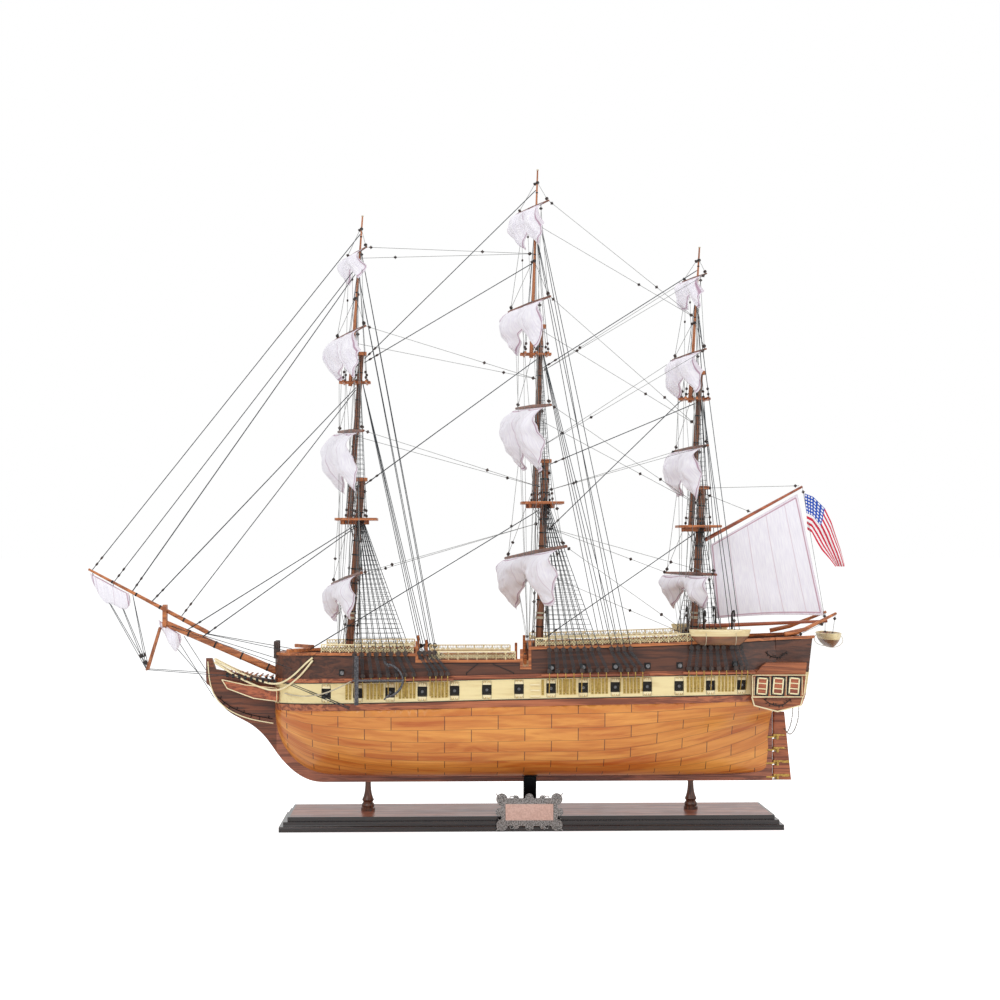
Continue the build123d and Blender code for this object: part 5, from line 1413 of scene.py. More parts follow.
@dataclass
class Rigging:
    """Stays, running lines, ratlines, blocks and hearts."""

    rung_pitch: float = 6.0
    block_radius: float = 2.3
    light: float = 0.28 * MM
    lightest_stay: float = 0.36 * MM
    topmast_foot: float = 375 * MM

    def build(self) -> None:
        """Splits the rigging by weight and hangs its ratlines and blocks."""
        heavy, light = split_node("stays_and_lines", lambda rod: rod.radius > self.lightest_stay)
        stays = piece("stays", heavy, TARRED)
        running = piece("running_lines", light, LINE)
        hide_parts("stays_and_lines")
        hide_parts("stays_and_lines")
        self.ratlines()
        self.clewlines()
        self.blocks()
        self.hearts()

    def ratlines(self) -> None:
        """Rungs across the lower and topmast shrouds."""
        shrouds = rods("shrouds")
        lower = [rod for rod in shrouds if 200 * MM < rod.start.z < 236 * MM and rod.radius > 0.42 * MM]
        upper = [rod for rod in shrouds if rod.start.z > self.topmast_foot and rod.length > 120 * MM]
        rungs = []
        for chosen, low, high in ((lower, 365, 430), (upper, 520, 600)):
            for hand in HANDS:
                for start, end in ((-270, -80), (-60, 150), (150, 300)):
                    group = [
                        rod for rod in chosen
                        if rod.start.y * hand > 0 and start * MM < rod.start.x < end * MM
                        and low * MM < rod.end.z < high * MM
                    ]
                    group.sort(key=lambda rod: rod.start.x)
                    rungs.extend(self.rungs(group))
        lines("ratlines", rungs, TARRED, sides=0)

    def clewlines(self) -> None:
        """Light lines from the yards down to the foot of each mast, with a block on each."""
        runs, shape = [], bmesh.new()
        feet = sorted(rods("lower_masts"), key=lambda rod: rod.start.x)
        for mast, foot in zip(MASTS, feet):
            for level, yard in enumerate(rods(mast + "_yards")):
                for hand in HANDS:
                    for k, reach in enumerate((0.3, 0.62)):
                        start = yard.at(0.5 + hand * reach / 2) - Vector((yard.radius, 0, yard.radius))
                        aside = Vector((14 * (1 - 2 * k), 9 * math.copysign(1, start.y) + level, 0))
                        end = foot.level(222 * MM) + aside * MM
                        runs.append(Run((start, end), self.light))
                        bead(shape, start.lerp(end, 0.06 + 0.05 * k), 1.9 * MM, (0.8, 0.8, 1.1), 1)
        lines("clewlines", runs, LINE)
        piece("clewline_blocks", shape, BLOCK_WOOD)

    def rungs(self, group: list[Rod]) -> list[Run]:
        """Rungs tied across one side's shrouds, every step of the way up."""
        if len(group) < 2:
            return []
        foot = max(rod.start.z for rod in group) + 9 * MM
        head = min(rod.end.z for rod in group) - 6 * MM
        count = int((head - foot) / (self.rung_pitch * MM))
        found = []
        for i in range(count):
            height = foot + i * self.rung_pitch * MM
            points = [
                rod.level(height) + Vector((0, 0, 0.25 * MM * math.sin(i * 1.7 + k)))
                for k, rod in enumerate(group)
            ]
            found.append(Run(tuple(points), 0.24 * MM))
        return found

    def blocks(self) -> None:
        """Blocks where lines meet spars, and some along the lines."""
        shape = bmesh.new()
        size = self.block_radius * MM
        strop = size * 1.02
        for k, rod in enumerate(rods("stays_and_lines")):
            if rod.radius > self.lightest_stay:
                continue
            way = rod.way
            turn = turned(Z_AXIS, way)
            spots = [rod.start + way * 4 * MM, rod.end - way * 5 * MM]
            if rod.length > 180 * MM:
                spots.append(rod.at(0.16 + 0.05 * (k % 4)))
            for spot in spots:
                place = Matrix.Translation(spot) @ turn @ Matrix.Diagonal((0.72, 0.9, 1.15, 1))
                bmesh.ops.create_icosphere(shape, subdivisions=1, radius=size, matrix=place)
                rope = Matrix.Translation(spot) @ turn
                bmesh.ops.create_cone(
                    shape, cap_ends=True, segments=8, radius1=strop, radius2=strop, depth=size * 0.3,
                    matrix=rope,
                )
        piece("rigging_blocks", shape, BLOCK_WOOD)

    def hearts(self) -> None:
        """Hearts and seizings at the lower ends of the stays."""
        shape = bmesh.new()
        for rod in rods("stays_and_lines"):
            if rod.radius < 0.5 * MM:
                continue
            way = rod.way
            turn = turned(Z_AXIS, way)
            for reach in (9, 19):
                heart = Matrix.Translation(rod.start + way * reach * MM) @ turn
                place = heart @ Matrix.Diagonal((0.6, 0.9, 1.2, 1))
                bmesh.ops.create_icosphere(shape, subdivisions=2, radius=2.4 * MM, matrix=place)
        for rod in rods("shrouds"):
            if rod.start.z < self.topmast_foot or rod.length < 90 * MM:
                continue
            way = rod.way
            for reach in (3, 10):
                bead(shape, rod.start + way * reach * MM, 2.0 * MM, (0.9, 0.5, 1), 2)
        piece("stay_hearts", shape, BLOCK_WOOD)


# ---------------------------------------------------------------- sails and flag


def crumple(place: Vector, size: float, seed: float) -> float:
    """Soft random push for creases, from about -1 to 1."""
    return noise.noise(place * size + Vector((seed, seed * 0.7, 0)))


def sew(name: str, panes: tuple[int, int], size: tuple, form: Callable[[float, float], Vector],
        finish: Finish, unit_map: bool = False) -> bpy.types.Object:
    """Shapes a flat grid of cloth, fills its map and makes it a piece.

    Args:
        name: Name of the piece.
        panes: Panes across and down.
        size: Width and length of the cut in metres.
        form: Function from the shares across and down to a point.
        finish: The cloth.
        unit_map: Whether the map runs from 0 to 1 instead of metres.

    Returns:
        The sail, with a cloth's thickness.
    """
    shape = bmesh.new()
    bmesh.ops.create_grid(shape, x_segments=panes[0], y_segments=panes[1], size=0.5)
    bmesh.ops.translate(shape, verts=shape.verts[:], vec=(0.5, 0.5, 0))
    uv, hem = shape.loops.layers.uv.new("UVMap"), shape.verts.layers.float.new("hem")
    width, length = size
    for face in shape.faces:
        for loop in face.loops:
            u, v = loop.vert.co.x, loop.vert.co.y
            loop[uv].uv = (u, v) if unit_map else (u * width, v * length)
    for corner in shape.verts:
        u, v = corner.co.x, corner.co.y
        corner[hem] = min(u * width, (1 - u) * width, v * length, (1 - v) * length)
        corner.co = form(u, v)
    sail = piece(name, shape, finish, smooth=180)
    thick = sail.modifiers.new("thickness", "SOLIDIFY")
    thick.thickness = 0.35 * MM
    soft = sail.modifiers.new("soft", "SUBSURF")
    soft.levels = soft.render_levels = 1
    return sail


def surface_area(form: Callable[[float, float], Vector], across: int = 40, down: int = 30) -> float:
    """Area of a shaped cloth, from its own form."""
    total = 0.0
    for i in range(across):
        for j in range(down):
            a, b = form(i / across, j / down), form((i + 1) / across, j / down)
            c, d = form((i + 1) / across, (j + 1) / down), form(i / across, (j + 1) / down)
            total += ((b - a).cross(d - a).length + (c - b).cross(c - d).length) / 2
    return total


@dataclass
class SquareSail:
    """A clewed-up square sail: two lobes hang from the yard, its middle is drawn up to the mast."""

    name: str
    yard: Rod
    drop: float
    seed: float
    bunt: float = 0.36
    body: float = 0.34
    reach: float = 0.88

    def build(self) -> bpy.types.Object:
        """Sews the sail at the size of its cut."""
        width = self.reach * self.yard.length
        size = (width, surface_area(self.form) / width)
        sail = sew(self.name, (72, 30), size, self.form, SAILCLOTH)
        return sail

    def form(self, u: float, v: float) -> Vector:
        """Point of the cloth at a share across and a share down."""
        port, starboard = sorted((self.yard.start, self.yard.end), key=lambda end: end.y)
        share = u * 2 - 1
        centre = (port + starboard) / 2
        across = (starboard - port) / 2
        lobe = 1 / (1 + ((abs(share) - 0.58) / 0.3) ** 4)
        drop = self.drop * (self.bunt + (1 - self.bunt) * lobe)
        pinch = 1 - 0.3 * v * v * lobe
        middle = math.copysign(0.6, share)
        wide = share if lobe < 0.02 else middle + (share - middle) * pinch
        along = centre + across * self.reach * (share + (wide - share) * min(1, abs(share) * 4))
        sway = 1 + 0.05 * math.sin(share * 9 + self.seed)
        full = math.sin(math.pi * min(v, 1) ** 0.75)
        pleats = math.sin(share * 34 + self.seed * 3) * (1 - lobe)
        pleats += 0.35 * math.sin(share * 17 + 4 * v + self.seed)
        forward = 1.5 * MM + self.yard.radius * (1 - 0.4 * v)
        forward += self.drop * self.body * full * (0.35 + 0.65 * lobe)
        forward += 2.2 * MM * pleats * (0.25 + v) * (0.5 + 0.5 * full)
        where = Vector((along.x, along.y, centre.z - drop * v))
        crease = crumple(where, 70, self.seed) * 5.0 * MM + crumple(where, 160, self.seed) * 1.6 * MM
        place = along + Vector((-forward - crease * (0.3 + v), 0, 0))
        rise = -self.yard.radius * 0.75 - drop * v * sway
        place.z += rise + crumple(where, 90, self.seed + 9) * 1.6 * MM * v
        return place


@dataclass
class FurledJib:
    """A headsail gathered in a bag below its boom."""

    name: str
    spar: Rod
    start: float
    end: float
    depth: float
    seed: float

    def build(self) -> bpy.types.Object:
        """Sews the bag at the size of its cut."""
        length = (self.form(0, 0) - self.form(1, 0)).length
        size = (length, surface_area(self.form) / length)
        sail = sew(self.name, (40, 36), size, self.form, SAILCLOTH)
        return sail

    def form(self, u: float, v: float) -> Vector:
        """Point of the cloth: v goes down one side of the bag and up the other."""
        share = self.start + (self.end - self.start) * u
        on_spar = self.spar.at(share)
        turn = math.pi * (v * 2 - 1)
        full = math.sin(math.pi * min(max(u * 0.92 + 0.04, 0), 1)) ** 0.6
        wide = 7.5 * MM * math.sin(turn) * full * (0.9 + 0.2 * math.sin(u * 13 + self.seed))
        deep = self.depth * (1 + math.cos(turn)) / 2 * full * (1 + 0.16 * math.sin(u * 8 + self.seed))
        gap = self.spar.radius + 0.8 * MM
        place = Vector((on_spar.x + deep * 0.18, on_spar.y + wide, on_spar.z - gap - deep))
        push = crumple(place, 55, self.seed) * 3.0 * MM * full
        return place + Vector((push * 0.4, push, push * 0.5 if deep > 4 * MM else 0))


@dataclass
class Spanker:
    """The fore-and-aft sail on the mizzen, laced to its gaff and boom."""

    corners: tuple = ((232, 355), (345, 421), (378.5, 264), (240, 260.5))
    width: float = 128 * MM
    length: float = 132 * MM

    def build(self) -> bpy.types.Object:
        """Sews the sail."""
        sail = sew("spanker", (60, 60), (self.width, self.length), self.form, SPANKER_CLOTH)
        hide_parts("spanker_sail")
        flat = (self.width, surface_area(self.form) / self.width)
        return sail

    def form(self, u: float, v: float) -> Vector:
        """Point of the cloth: u from luff to leech, v from gaff to boom."""
        throat, peak, clew, tack = (Vector((x, 0, z)) * MM for x, z in self.corners)
        head = throat.lerp(peak, u)
        foot = tack.lerp(clew, u)
        place = head.lerp(foot, v)
        belly = math.sin(math.pi * u) * math.sin(math.pi * v)
        place.y = 5.5 * MM * belly + crumple(place, 22, 3.0) * 2.6 * MM * math.sin(math.pi * v)
        place.y += 0.9 * MM * math.sin(u * 40 + v * 3) * math.sin(math.pi * u) * v * v
        place.z += 2.6 * MM * math.sin(math.pi * u) * v * v
        return place


@dataclass
class Flag:
    """A flag drooping from the peak of the gaff."""

    length: float = 112 * MM

    def build(self) -> bpy.types.Object:
        """Sews the flag at the size of its cut."""
        size = (self.length, surface_area(self.form) / self.length)
        flag = sew("flag_cloth_piece", (60, 28), size, self.form, FLAG_CLOTH, True)
        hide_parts("flag")
        return flag

    def form(self, u: float, v: float) -> Vector:
        """Point of the cloth: u from hoist to fly, v from the upper edge to the lower."""
        upper = self.edge(u, ((354.2, 421.5), (366, 417), (381, 402), (390, 384), (401, 350), (406, 327)))
        lower = self.edge(u, ((358, 374.5), (363.5, 371), (369, 360), (376, 348), (384, 338), (393, 327)))
        place = upper.lerp(lower, v)
        fold = math.sin(v * math.pi * 2.6 + u * 3.1) * (0.35 + u) * 3.4
        fold += math.sin(u * 11 + v * 2) * 2.0 * u
        place.y = fold * MM
        return place

    def edge(self, u: float, marks: tuple) -> Vector:
        """Point along an edge given by its marks."""
        place = u * (len(marks) - 1)
        first = min(int(place), len(marks) - 2)
        share = place - first
        (ax, az), (bx, bz) = marks[first], marks[first + 1]
        return Vector(((ax + (bx - ax) * share) * MM, 0, (az + (bz - az) * share) * MM))


class Sails:
    """All the cloth of the ship."""

    names = ("course", "topsail", "topgallant_sail", "royal")
    drops = {"fore": (50, 76, 57, 36), "main": (66, 80, 58, 50), "mizzen": (42, 62, 52, 40)}

    def build(self) -> None:
        """Sews every sail."""
        for mast, drops in self.drops.items():
            yards = sorted(rods(mast + "_yards"), key=lambda yard: yard.start.z)
            for i, (yard, drop, name) in enumerate(zip(yards, drops, self.names)):
                seed = 3.1 * i + {"fore": 0.4, "main": 1.7, "mizzen": 2.9}[mast]
                sail = SquareSail(f"{mast}_{name}", yard, drop * MM, seed).build()
                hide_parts(mast + "_sails")
        boom = rods("jibboom")[0]
        lowered = Rod(boom.start - Vector((12, 0, 14)) * MM, boom.end, boom.radius)
        jibs = (("outer_jib", boom, 0.66, 0.985, 31, 1.2), ("inner_jib", lowered, 0.16, 0.36, 26, 4.4))
        for name, spar, start, end, depth, seed in jibs:
            jib = FurledJib(name, spar, start, end, depth * MM, seed).build()
            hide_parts("headsails")
        Spanker().build()
        Flag().build()


# ---------------------------------------------------------------- base, deck, boats and stern gear


@dataclass
class Nameplate:
    """Cast scrollwork round the bare plate."""

    curl: float = 4.2

    def build(self) -> None:
        """Builds the scrolls, shells and beads on the frame's face."""
        low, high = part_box("nameplate_frame")
        face = low.y - 0.1 * MM
        middle = (low + high) / 2
        runs, beads = [], bmesh.new()
        for side in (-1, 1):
            for end in (-1, 1):
                across, up = side * (high.x - low.x) * 0.42, end * (high.z - low.z) * 0.38
                corner = Vector((middle.x + across, face, middle.z + up))
                runs.extend(self.scroll(corner, side, end))
                runs.extend(self.scroll(corner - Vector((side * 13 * MM, 0, 0)), -side, end, 0.7))
                runs.extend(self.scroll(corner - Vector((0, 0, end * 6 * MM)), side, -end, 0.62))
                bead(beads, corner, 1.3 * MM, (1, 0.7, 1), 2)
        for end in (-1, 1):
            centre = Vector((middle.x, face, middle.z + end * (high.z - low.z) * 0.4))
            for k in range(-3, 4):
                tip = centre + Vector((k * 1.5, 0, end * (4.4 - 0.3 * k * k))) * MM
                crest = centre.lerp(tip, 0.6) + Vector((0, -0.5 * MM, 0))
                runs.append(Run((centre, crest, tip), 0.62 * MM, True))
            bead(beads, centre, 1.7 * MM, (1, 0.7, 1), 2)
        plate_low, plate_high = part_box("nameplate")
        corners = rectangle(plate_low.x, plate_high.x, plate_low.z, plate_high.z)
        inner = tuple(Vector((x, face, z)) for x, z in corners)
        runs.append(Run(inner, 0.55 * MM))
        lines("nameplate_scrolls", runs, PEWTER, sides=2)
        piece("nameplate_beads", beads, PEWTER)

    def scroll(self, root: Vector, side: int, end: int, scale: float = 1.0) -> list[Run]:
        """A spiral curl with its side leaf.

        Args:
            root: Where it starts.
            side: Way along the plate.
            end: Way up the plate.
            scale: Its size.

        Returns:
            Its lines.
        """
        points = []
        for i in range(15):
            turn = 0.4 + i * 0.42
            reach = self.curl * scale * MM * (1 - i / 17)
            swing = Vector((side * reach * math.cos(turn), -0.04 * i * MM, end * reach * math.sin(turn)))
            points.append(root + swing)
        leaf = (points[1], points[1] + Vector((side * 2.4, 0, end * 0.6)) * MM * scale,
                points[1] + Vector((side * 3.2, 0, end * 3.0)) * MM * scale)
        return [Run(tuple(points), 0.75 * MM * scale, True), Run(leaf, 0.6 * MM * scale, True)]


@dataclass
class DeckGear:
    """Fittings on the deck: gratings, bitts with their pins, ladders and guns."""

    hatches: tuple = ((-175, 26, 30), (-75, 34, 30), (75, 26, 26), (125, 20, 22))
    deck: float = 203.0

    def build(self) -> None:
        """Builds the fittings."""
        self.gratings()
        self.bitts()
        self.ladders()
        self.guns()

    def deck_at(self, x: float) -> float:
        """Height of the deck near the middle line, in millimetres."""
        hit, _, _, _ = DECK_SKIN.tree.ray_cast(Vector((x * MM, 6 * MM, 0.4)), Vector((0, 0, -1)), 0.4)
        return self.deck if hit is None else max(self.deck - 6, hit.z / MM)

    def gratings(self) -> None:
        """Crossed bars over the hatches."""
        shape = bmesh.new()
        for x, length, width in self.hatches:
            top = self.deck_at(x) + 0.2
            for i in range(9):
                y = (i / 8 - 0.5) * (width - 4)
                block(shape, at(x, y, top), ((length - 3) * MM, 1.1 * MM, 0.9 * MM))
            for i in range(9):
                place = x + (i / 8 - 0.5) * (length - 4)
                block(shape, at(place, 0, top + 0.3), (1.1 * MM, (width - 3) * MM, 0.9 * MM))
        piece("hatch_gratings", shape, RAIL_WOOD)

    def bitts(self) -> None:
        """Posts and cross pieces round each mast with belaying pins."""
        wood, pins = bmesh.new(), bmesh.new()
        for rod in rods("lower_masts"):
            x = rod.start.x / MM
            floor = self.deck_at(x + 14)
            for hand in HANDS:
                block(wood, at(x + 13, hand * 11, floor + 6), (3.4 * MM, 3.4 * MM, 12.5 * MM), 0.4 * MM)
                block(wood, at(x - 13, hand * 11, floor + 6), (3.4 * MM, 3.4 * MM, 12.5 * MM), 0.4 * MM)
            for way in (-13, 13):
                block(wood, at(x + way, 0, floor + 9.5), (2.6 * MM, 28 * MM, 2.2 * MM), 0.3 * MM)
                for i in range(7):
                    place = Vector((x + way, (i - 3) * 4, floor + 10)) * MM
                    start, end = place - Z_AXIS * 3 * MM, place + Z_AXIS * 3.2 * MM
                    drum(pins, start, end, (0.5 * MM, 0.7 * MM), 8)
        piece("mast_bitts", wood, RAIL_WOOD)
        piece("belaying_pins", pins, BLOCK_WOOD)

    def ladders(self) -> None:
        """Steps from the waist to the higher decks."""
        shape = bmesh.new()
        for hand in HANDS:
            for x, lean in ((-160, 1), (30, -1)):
                floor = self.deck_at(x)
                for i in range(5):
                    tread = at(x + lean * i * 2.4, hand * 34, floor + 2 + 2.6 * i)
                    block(shape, tread, (2.6 * MM, 13 * MM, 0.8 * MM))
                for way in (-6.9, 6.9):
                    start = Vector((x - lean * 2, hand * 34 + way, floor)) * MM
                    end = Vector((x + lean * 12, hand * 34 + way, floor + 14)) * MM
                    drum(shape, start, end, (0.8 * MM, 0.8 * MM), 8)
        piece("deck_ladders", shape, RAIL_WOOD)

    def guns(self) -> None:
        """Short guns on slides along the waist."""
        metal, wood = bmesh.new(), bmesh.new()
        for x in (-130, -95, -50, 50, 95, 160, 195, 230):
            floor = self.deck_at(x)
            for hand in HANDS:
                skin = TOPSIDE.side(x * MM, (self.deck + 7) * MM, hand)
                if skin is None:
                    continue
                reach = abs(skin.y) / MM - 9
                block(wood, at(x, hand * (reach - 6), floor + 2.2), (6.4 * MM, 13 * MM, 3 * MM), 0.3 * MM)
                start = Vector((x, hand * (reach - 12), floor + 5.6)) * MM
                end = Vector((x, hand * reach, floor + 6.2)) * MM
                drum(metal, start, end, (2.3 * MM, 1.6 * MM), 14)
                bead(metal, start, 1.6 * MM, (1, 1, 1), 2)
        piece("deck_guns", metal, STRAP_BLACK)
        piece("gun_slides", wood, DARK_WOOD)


@dataclass
class Boats:
    """Gunwales, thwarts, oars and lashings of the boats."""

    def build(self) -> None:
        """Trims every boat from its own measured box, and paints the quarter davits black."""
        black, plain = split_node("davits", lambda rod: rod.start.x < 300 * MM)
        for made in (piece("quarter_davits", black, MATT_BLACK), piece("stern_davits", plain, RAIL_WOOD)):
            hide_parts("davits")
        trim, oars, rope = bmesh.new(), [], []
        rims = []
        shape = merged("ship_boats")
        for group in solids(shape):
            points = np.array([v.co for v in group])
            low, high = Vector(points.min(0)), Vector(points.max(0))
            self.trim(trim, rims, oars, rope, low, high)
        shape.free()
        piece("boat_thwarts", trim, RAIL_WOOD)
        lines("boat_gunwales", rims, CREAM_TRIM, sides=2)
        lines("boat_oars", oars, RAIL_UPRIGHT, sides=1)
        lines("boat_gripes", rope, PALE_ROPE)

    def trim(self, trim: Mesh, rims: list[Run], oars: list[Run], rope: list[Run], low: Vector,
             high: Vector) -> None:
        """Trims one boat.

        Args:
            trim: Mesh of the thwarts.
            rims: Lines of the gunwales.
            oars: Lines of the oars.
            rope: Lines of the lashings.
            low: Lowest corner of the boat.
            high: Highest corner of the boat.
        """
        size, middle = high - low, (low + high) / 2
        lengthwise = size.x > size.y
        length, beam = (size.x, size.y) if lengthwise else (size.y, size.x)

        def spot(along: float, across: float, up: float) -> Vector:
            """Point of the boat from its middle, in its own directions."""
            level = Vector((along, across, 0)) if lengthwise else Vector((across, along, 0))
            return Vector((middle.x, middle.y, low.z + up)) + level

        for i in range(3):
            along = (i - 1) * length * 0.22
            turn = Matrix() if lengthwise else Matrix.Rotation(math.pi / 2, 4, "Z")
            wide = beam * (0.86 - 0.16 * abs(i - 1))
            place = Matrix.Translation(spot(along, 0, size.z * 0.78)) @ turn
            block(trim, place, (4 * MM, wide, 1.1 * MM), 0.2 * MM)
        for hand in (-1, 1):
            rims.append(Run(tuple(
                spot(share * length * 0.49, hand * beam * 0.5 * max(0.0, 1 - abs(share) ** 2.6) ** 0.8,
                     size.z * (0.93 + 0.05 * share * share))
                for share in [k / 12 - 1 for k in range(25)]
            ), 0.8 * MM, True))
            for k in (1, 2):
                across = hand * beam * 0.1 * k
                grip = spot(-length * 0.3, across, size.z * 0.93)
                blade = spot(length * 0.3, across, size.z * 0.95)
                oars.append(Run((grip, blade), 0.55 * MM))
        for along in (-0.24, 0.24):
            rope.append(Run(tuple(
                spot(along * length, beam * 0.53 * math.sin(turn), size.z * (0.5 - 0.52 * math.cos(turn)))
                for turn in [-math.pi * 0.98 + k * math.pi * 1.96 / 16 for k in range(17)]
            ), 0.35 * MM, True))


@dataclass
class SternGear:
    """Straps and nails of the rudder and its post."""

    nail: float = 0.55 * MM
    nail_head: tuple = (1, 0.6, 1)

    def build(self) -> None:
        """Builds the straps on the blade and on the post."""
        plates, nails, post = bmesh.new(), bmesh.new(), bmesh.new()
        blade_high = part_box("rudder")[1]
        strap_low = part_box("rudder_pintles")[0]
        fixed_low, fixed_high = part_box("rudder_gudgeons")
        blade = Skin("rudder")
        body = Skin("keel", "hull_planking")
        for level in self.levels_of("rudder_pintles"):
            for hand in HANDS:
                for i in range(6):
                    x = strap_low.x + 8 * MM + (blade_high.x - strap_low.x - 10 * MM) * i / 5
                    spot = blade.side(x, level, hand)
                    if spot is None:
                        continue
                    bead(nails, spot + Vector((0, hand * 0.9 * MM, 0)), self.nail, self.nail_head)
                first = blade.side(strap_low.x + 12 * MM, level, hand)
                last = blade.side(blade_high.x - 2.5 * MM, level, hand)
                if first is not None and last is not None:
                    middle = (first + last) / 2
                    place = Matrix.Translation(middle + Vector((0, hand * 0.25 * MM, 0)))
                    block(plates, place, (last.x - first.x, 0.9 * MM, 3.2 * MM), 0.15 * MM)
                hinge = Vector((strap_low.x + 6.6 * MM, hand * 3.35 * MM, level - 2.6 * MM))
                block(plates, Matrix.Translation(hinge), (3.0 * MM, 0.5 * MM, 5.2 * MM), 0.1 * MM)
        for level in self.levels_of("rudder_gudgeons"):
            for hand in HANDS:
                for i in range(4):
                    x = fixed_low.x + 2 * MM + (fixed_high.x - fixed_low.x - 8 * MM) * i / 3
                    spot = body.side(x, level, hand)
                    if spot is not None:
                        bead(post, spot + Vector((0, hand * 1.0 * MM, 0)), self.nail, self.nail_head)
        piece("rudder_straps", plates, BRASS, RUDDER)
        piece("rudder_nails", nails, BRASS, RUDDER)
        piece("sternpost_nails", post, BRASS)

    def levels_of(self, name: str) -> list[float]:
        """Heights of a node's straps."""
        shape = merged(name)
        found = []
        for group in solids(shape):
            heights = [v.co.z for v in group]
            found.append(max(heights) - 1.6 * MM)
        shape.free()
        return found


# ---------------------------------------------------------------- cords


@dataclass
class Cable:
    """An anchor cable from its hawse hole to the anchor ring."""

    hand: int
    radius: float = 0.8 * MM
    length: float = 107.2 * MM
    ring_rise: float = 187.5

    def route(self) -> list[Vector]:
        """Control points of its line, in metres."""
        low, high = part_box("anchor_cable_" + SIDE_NAMES[self.hand])
        start = (min(abs(low.y), abs(high.y)) + self.radius) / MM
        marks = [
            (-309, start, 169), (-296, 49, 166.5), (-272, 66, 167.5), (-246, 82, 175),
            (-223.5, 88.5, self.ring_rise),
        ]
        return [Vector((x, self.hand * y, z)) * MM for x, y, z in marks]

    def build(self) -> bpy.types.Object:
        name = SIDE_NAMES[self.hand]
        route = self.route()
        cable = bpy.data.objects.new(f"cable_{name}", nurbs(f"cable_{name}", route))
        cable.data.bevel_depth = self.radius
        cable.data.bevel_resolution = 3
        cable.data.use_fill_caps = True
        cable.data.materials.append(PALE_ROPE.material())
        bpy.context.scene.collection.objects.link(cable)
        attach(cable, SHIP)
        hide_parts(f"anchor_cable_{name}")
        self.length
        return cable


def nurbs(name: str, route: list[Vector]) -> bpy.types.Curve:
    """A single open spline through its two ends, drawn towards the points between.

    Args:
        name: Name of the curve.
        route: Control points.

    Returns:
        The curve.
    """
    curve = bpy.data.curves.new(name, "CURVE")
    curve.dimensions = "3D"
    curve.resolution_u = 16
    spline = curve.splines.new("NURBS")
    spline.points.add(len(route) - 1)
    for point, place in zip(spline.points, route):
        point.co = (*place, 1)
    spline.order_u = 3
    spline.use_endpoint_u = True
    return curve


@dataclass
class RudderChain:
    """The links that hang from the counter to the blade."""

    hand: int
    link: float = 3.0 * MM
    wire: float = 0.34 * MM
    bow: float = 0.68 * MM
    over_all: float = 2.0 * MM
    length: float = 53.9 * MM
    marks: tuple = ((342, 20, 151), (342, 20, 138), (338.5, 17.5, 122), (333.5, 13, 113), (329, 8.5, 114),
                    (326.6, 4.4, 119.5))

    def line(self) -> list[Vector]:
        """Points of the chain's own line."""
        route = [Vector((x, self.hand * y, z)) * MM for x, y, z in self.marks]
        shape = curve_mesh(nurbs("chain_line", route))
        points = [v.co.copy() for v in shape.verts]
        shape.free()
        return points

    def build(self) -> bpy.types.Object:
        name = SIDE_NAMES[self.hand]
        path = self.line()
        reach = [0.0]
        for first, second in zip(path, path[1:]):
            reach.append(reach[-1] + (second - first).length)
        shape = bmesh.new()
        count = int(reach[-1] / (self.link * 0.72))
        for i in range(count + 1):
            where = min(reach[-1] * i / count, reach[-1] - 1e-6)
            k = max(j for j, far in enumerate(reach[:-1]) if far <= where)
            share = (where - reach[k]) / (reach[k + 1] - reach[k])
            way = (path[k + 1] - path[k]).normalized()
            self.add_link(shape, path[k].lerp(path[k + 1], share), way, i)
        chain = piece(f"chain_{name}", shape, CHAIN, None)
        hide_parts(f"rudder_chain_{name}")
        path[0].lerp(path[-1], 0.15)
        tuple(path[-1])
        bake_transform(chain)
        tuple(path[0])
        self.length
        [tuple(point) for point in path]
        return chain

    def add_link(self, shape: Mesh, centre: Vector, way: Vector, turn: int) -> None:
        """Adds an oval link, each a quarter turned from the last.

        Args:
            shape: Mesh of the chain.
            centre: Middle of the link.
            way: Its long direction.
            turn: Its number along the chain.
        """
        ring = bmesh.new()
        middle = Vector((self.bow, 0, 0))
        bmesh.ops.create_circle(ring, segments=6, radius=self.wire, matrix=Matrix.Translation(middle))
        bmesh.ops.rotate(ring, verts=ring.verts[:], cent=middle, matrix=Matrix.Rotation(math.pi / 2, 3, "X"))
        bmesh.ops.spin(
            ring, geom=ring.verts[:] + ring.edges[:], cent=(0, 0, 0), axis=(0, 0, 1), angle=math.tau,
            steps=12, use_merge=True,
        )
        bmesh.ops.recalc_face_normals(ring, faces=ring.faces[:])
        long = Matrix.Diagonal((1, 1.75, 1, 1))
        lie = turned(Y_AXIS, way)
        quarter = Matrix.Rotation(turn * math.pi / 2, 4, "Y")
        place = Matrix.Translation(centre) @ lie @ quarter @ long
        bmesh.ops.transform(ring, matrix=place, verts=ring.verts[:])
        mesh = bpy.data.meshes.new("link")
        ring.to_mesh(mesh)
        ring.free()
        shape.from_mesh(mesh)
        bpy.data.meshes.remove(mesh)


# ---------------------------------------------------------------- studio


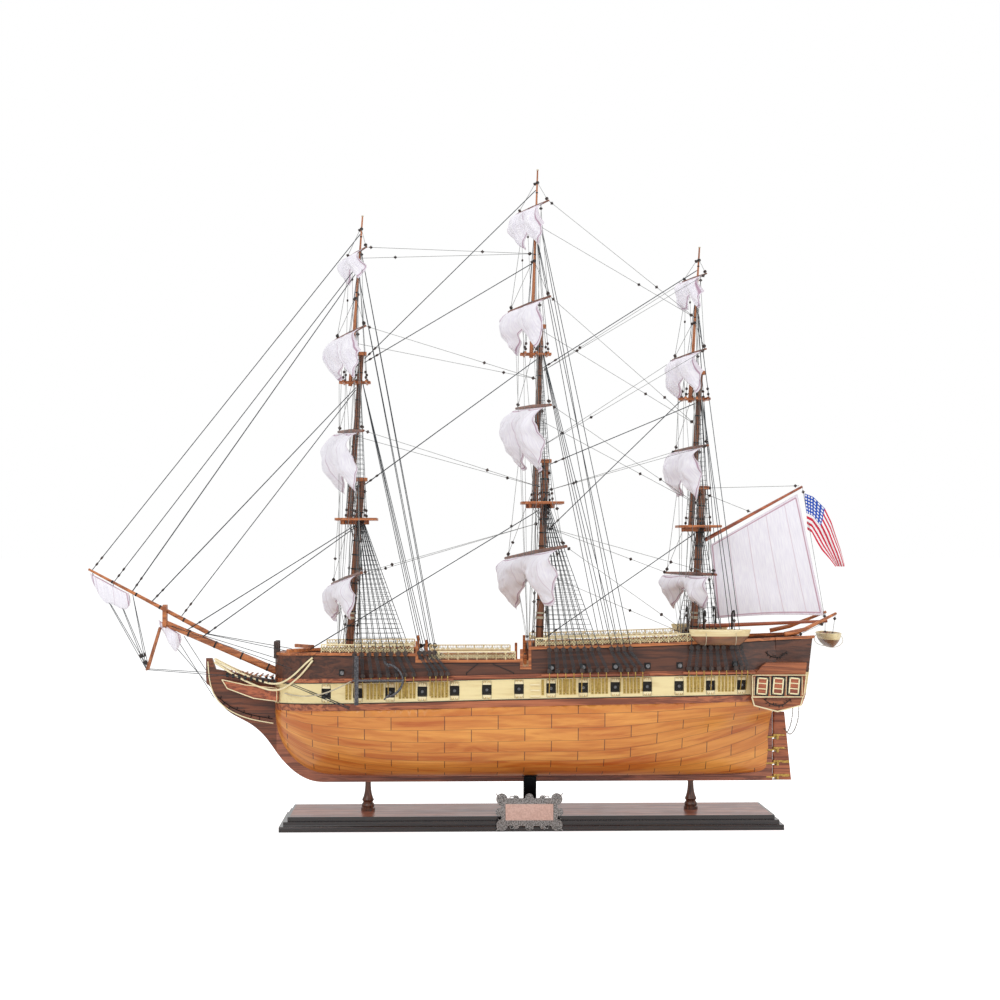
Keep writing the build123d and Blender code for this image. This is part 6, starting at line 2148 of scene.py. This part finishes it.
@dataclass(frozen=True)
class StudioWhite(Finish):
    """White table paint that stays white to the camera as far as the horizon."""

    colour: Colour = (0.9, 0.9, 0.9, 1)
    glow: float = 0.52

    def dress(self, nodes: Nodes, shader: bpy.types.Node) -> None:
        """Joins a faint unevenness and the glow that only the camera sees."""
        tone = nodes.step(nodes.noise(nodes.place(), 3, 2), 0.3, 0.7)
        path = nodes.add("LightPath").outputs["Is Camera Ray"]
        nodes.feed(shader, {
            "Base Color": nodes.mix(tone, self.colour, tint(248, 248, 248)),
            "Roughness": 0.8,
            "Specular IOR Level": 0.0,
            "Emission Color": tint(255, 255, 255),
            "Emission Strength": nodes.math("MULTIPLY", path, self.glow),
        })


FLOOR = StudioWhite("Studio white", "", tint(250, 250, 250))


@dataclass
class Studio:
    """White table, even surroundings, soft lamps and the camera."""

    eye: tuple = (-117, -2380, 350)
    yaw: float = 1.9
    pitch: float = 1.5
    lens: float = 66.96
    surroundings: float = 0.58

    def build(self) -> None:
        """Sets the floor, world, lamps and camera."""
        self.floor()
        self.world()
        self.lamp("key_lamp", (-1.2, -1.9, 2.1), 1.6, 26)
        self.lamp("fill_lamp", (1.7, -1.7, 1.2), 1.8, 12)
        self.lamp("top_lamp", (0.1, 0.4, 2.4), 2.0, 16)
        self.lamp("rim_lamp", (1.2, 1.7, 1.6), 1.4, 10)
        self.camera()
        bpy.context.scene.view_settings.view_transform = "Standard"

    def floor(self) -> None:
        """A pale floor under the base."""
        shape = bmesh.new()
        bmesh.ops.create_grid(shape, x_segments=1, y_segments=1, size=60)
        bmesh.ops.translate(shape, verts=shape.verts[:], vec=(0, 0, -0.0002))
        floor = piece("studio_floor", shape, FLOOR, None)

    def world(self) -> None:
        """White to the camera, soft and even to everything else."""
        world = bpy.data.worlds.new("Studio light")
        bpy.context.scene.world = world
        world.use_nodes = True
        nodes = Nodes(world.node_tree)
        path = nodes.add("LightPath").outputs
        seen = nodes.math("MAXIMUM", path["Is Camera Ray"], path["Is Transmission Ray"])
        bright = nodes.add("MapRange", {"Value": seen, "To Min": self.surroundings, "To Max": 1.0})
        nodes.feed(world.node_tree.nodes["Background"], {
            "Color": tint(255, 255, 255),
            "Strength": bright.outputs[0],
        })

    def lamp(self, name: str, place: tuple, size: float, power: float) -> None:
        """A square soft lamp pointed at the ship."""
        light = bpy.data.lights.new(name, "AREA")
        light.shape = "SQUARE"
        light.size = size
        light.energy = power
        lamp = bpy.data.objects.new(name, light)
        lamp.location = place
        lamp.rotation_euler = (Vector((0, 0, 0.35)) - Vector(place)).to_track_quat("-Z", "Y").to_euler()
        bpy.context.scene.collection.objects.link(lamp)

    def camera(self) -> None:
        """The camera, off the port side."""
        data = bpy.data.cameras.new("camera")
        data.lens = self.lens
        data.sensor_width = 36
        camera = bpy.data.objects.new("camera", data)
        camera.location = Vector(self.eye) * MM
        camera.rotation_euler = (math.radians(90 + self.pitch), 0, -math.radians(self.yaw))
        bpy.context.scene.collection.objects.link(camera)
        bpy.context.scene.camera = camera


def main() -> None:
    """Builds the scene in order and notes its sizes."""
    logging.basicConfig(level=logging.INFO, format="%(name)s %(message)s")
    dress_nodes()
    hull = (Planking(), GunStrake(), Topsides(), Galleries(), Head())
    rig = (MastDress(), Rigging(), Sails())
    fittings = (Nameplate(), DeckGear(), Boats(), SternGear())
    cords = (Cable(PORT), Cable(STARBOARD), RudderChain(PORT), RudderChain(STARBOARD))
    for part in (*hull, *rig, *fittings, *cords, Studio()):
        part.build()
        LOG.info("%s done", type(part).__name__)


if __name__ == "__main__":
    main()
